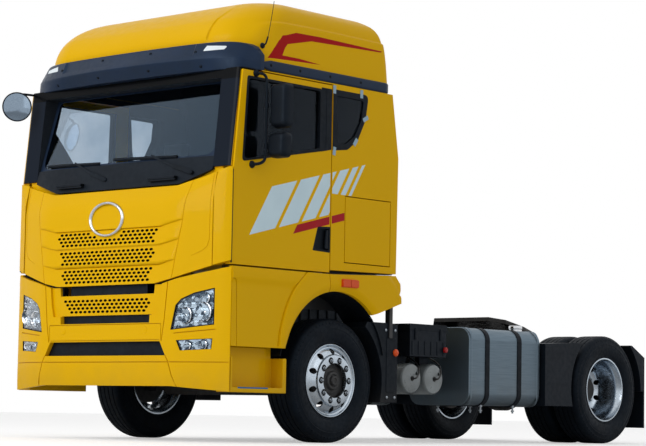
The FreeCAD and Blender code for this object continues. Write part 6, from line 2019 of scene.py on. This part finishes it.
# %% Round front mirror
MIRROR_TURN = math.radians(-32)
mirror_axis = Vector((math.cos(MIRROR_TURN), math.sin(MIRROR_TURN), 0))
mirror_place = at(-1185, -1436, 2770)
cap_mesh = drawn(turned, [(-30, 0), (-28, 60), (-20, 100), (-8, 119), (4, 125), (13, 125), (16, 122),
        (15, 117), (9, 114), (9, 0)],
       mirror_place, mirror_axis, 48)
closed_up(cap_mesh)
pipe(cap_mesh, [(-1185, -1440, 2868), (-1188, -1400, 2884), (-1200, -1300, 2892), (-1215, -1215, 2896)], 10)
finished("front_mirror_shell", cap_mesh, rubber_seal, "cab", "black_plastic", "front_mirror")
finished("front_mirror_glass", closed_up(drawn(turned,
        [(4, 0), (4, 115), (10, 115), (15, 90), (19, 60), (22, 30), (23, 0)], mirror_place, mirror_axis,
        48)), silvered_glass, "cab", "strap_steel")

# %% [markdown]
# ## Camera, floor and light
#
# The photograph was taken with a long lens from knee height, so the camera stands on the same spot:
# its distance and height set the perspective, and the narrow angle fills the picture.

# %% Camera
CAMERA_PLACE = (12640, -12940, 250)
CAMERA_YAW, CAMERA_PITCH, CAMERA_ROLL = 41.92, 5.08, 1.0
FOCAL_PIXELS, PICTURE_WIDTH, SENSOR = 2126, 646, 36

yaw, pitch, roll = (math.radians(v) for v in (CAMERA_YAW, CAMERA_PITCH, CAMERA_ROLL))
ahead = Vector((-math.sin(yaw) * math.cos(pitch), math.cos(yaw) * math.cos(pitch), math.sin(pitch)))
right = Vector((math.cos(yaw), math.sin(yaw), 0))
up = right.cross(ahead)
right, up = right * math.cos(roll) + up * math.sin(roll), up * math.cos(roll) - right * math.sin(roll)
lens = bpy.data.cameras.new("Camera")
lens.sensor_width = SENSOR
lens.lens = FOCAL_PIXELS / PICTURE_WIDTH * SENSOR
camera = bpy.data.objects.new("Camera", lens)
camera.matrix_world = Matrix.Translation(at(*CAMERA_PLACE)) @ Matrix(
    [(right[i], up[i], -ahead[i]) for i in range(3)]).to_4x4()
bpy.context.scene.collection.objects.link(camera)
bpy.context.scene.camera = camera

# %% Floor
floor_shape = bmesh.new()
bmesh.ops.create_grid(floor_shape, x_segments=1, y_segments=1, size=60)
floor_finish, floor_tree, floor_main = finish_named("pale_floor", Roughness=0.7)[:3]
floor_main.inputs["Base Color"].default_value = colour("#D8D8D8")
floor_seen = add(floor_tree, "ShaderNodeLightPath").outputs["Is Camera Ray"]
floor_glow = figured(floor_tree, "MULTIPLY", floor_seen, 0.42)
floor_main.inputs["Emission Color"].default_value = (1, 1, 1, 1)
floor_tree.links.new(floor_glow, floor_main.inputs["Emission Strength"])
floor = linked("floor", floor_shape, floor_finish)

# %% Lights
world = bpy.data.worlds.new("Studio")
bpy.context.scene.world = world
world.use_nodes = True
sky = world.node_tree
sky.nodes.clear()
seen = add(sky, "ShaderNodeLightPath")
shown = add(sky, "ShaderNodeMath", {0: seen.outputs["Is Camera Ray"],
        1: seen.outputs["Is Transmission Ray"]},
            operation="MAXIMUM")
shown = add(sky, "ShaderNodeMath", {0: shown.outputs[0], 1: seen.outputs["Is Glossy Ray"]},
            operation="MAXIMUM")
glow = add(sky, "ShaderNodeBackground", {"Color": (1, 1, 1, 1), "Strength": 0.55})
backdrop = add(sky, "ShaderNodeBackground", {"Color": (1, 1, 1, 1), "Strength": 1.0})
both_skies = add(sky, "ShaderNodeMixShader",
                 {0: shown.outputs[0], 1: glow.outputs[0], 2: backdrop.outputs[0]})
add(sky, "ShaderNodeOutputWorld", {"Surface": both_skies.outputs[0]})


def lamp(name, place, target, power, size):
    light = bpy.data.lights.new(name, "AREA")
    light.energy = power
    light.size = size
    lit = bpy.data.objects.new(name, light)
    lit.location = at(*place)
    lit.rotation_euler = (at(*target) - lit.location).to_track_quat("-Z", "Y").to_euler()
    bpy.context.scene.collection.objects.link(lit)


lamp("key", (-1500, -15500, 8500), (0, 0, 1500), 1350, 11)
lamp("side", (12000, 0, 8000), (0, 1500, 1500), 90, 8)
bpy.context.scene.view_settings.view_transform = "Standard"
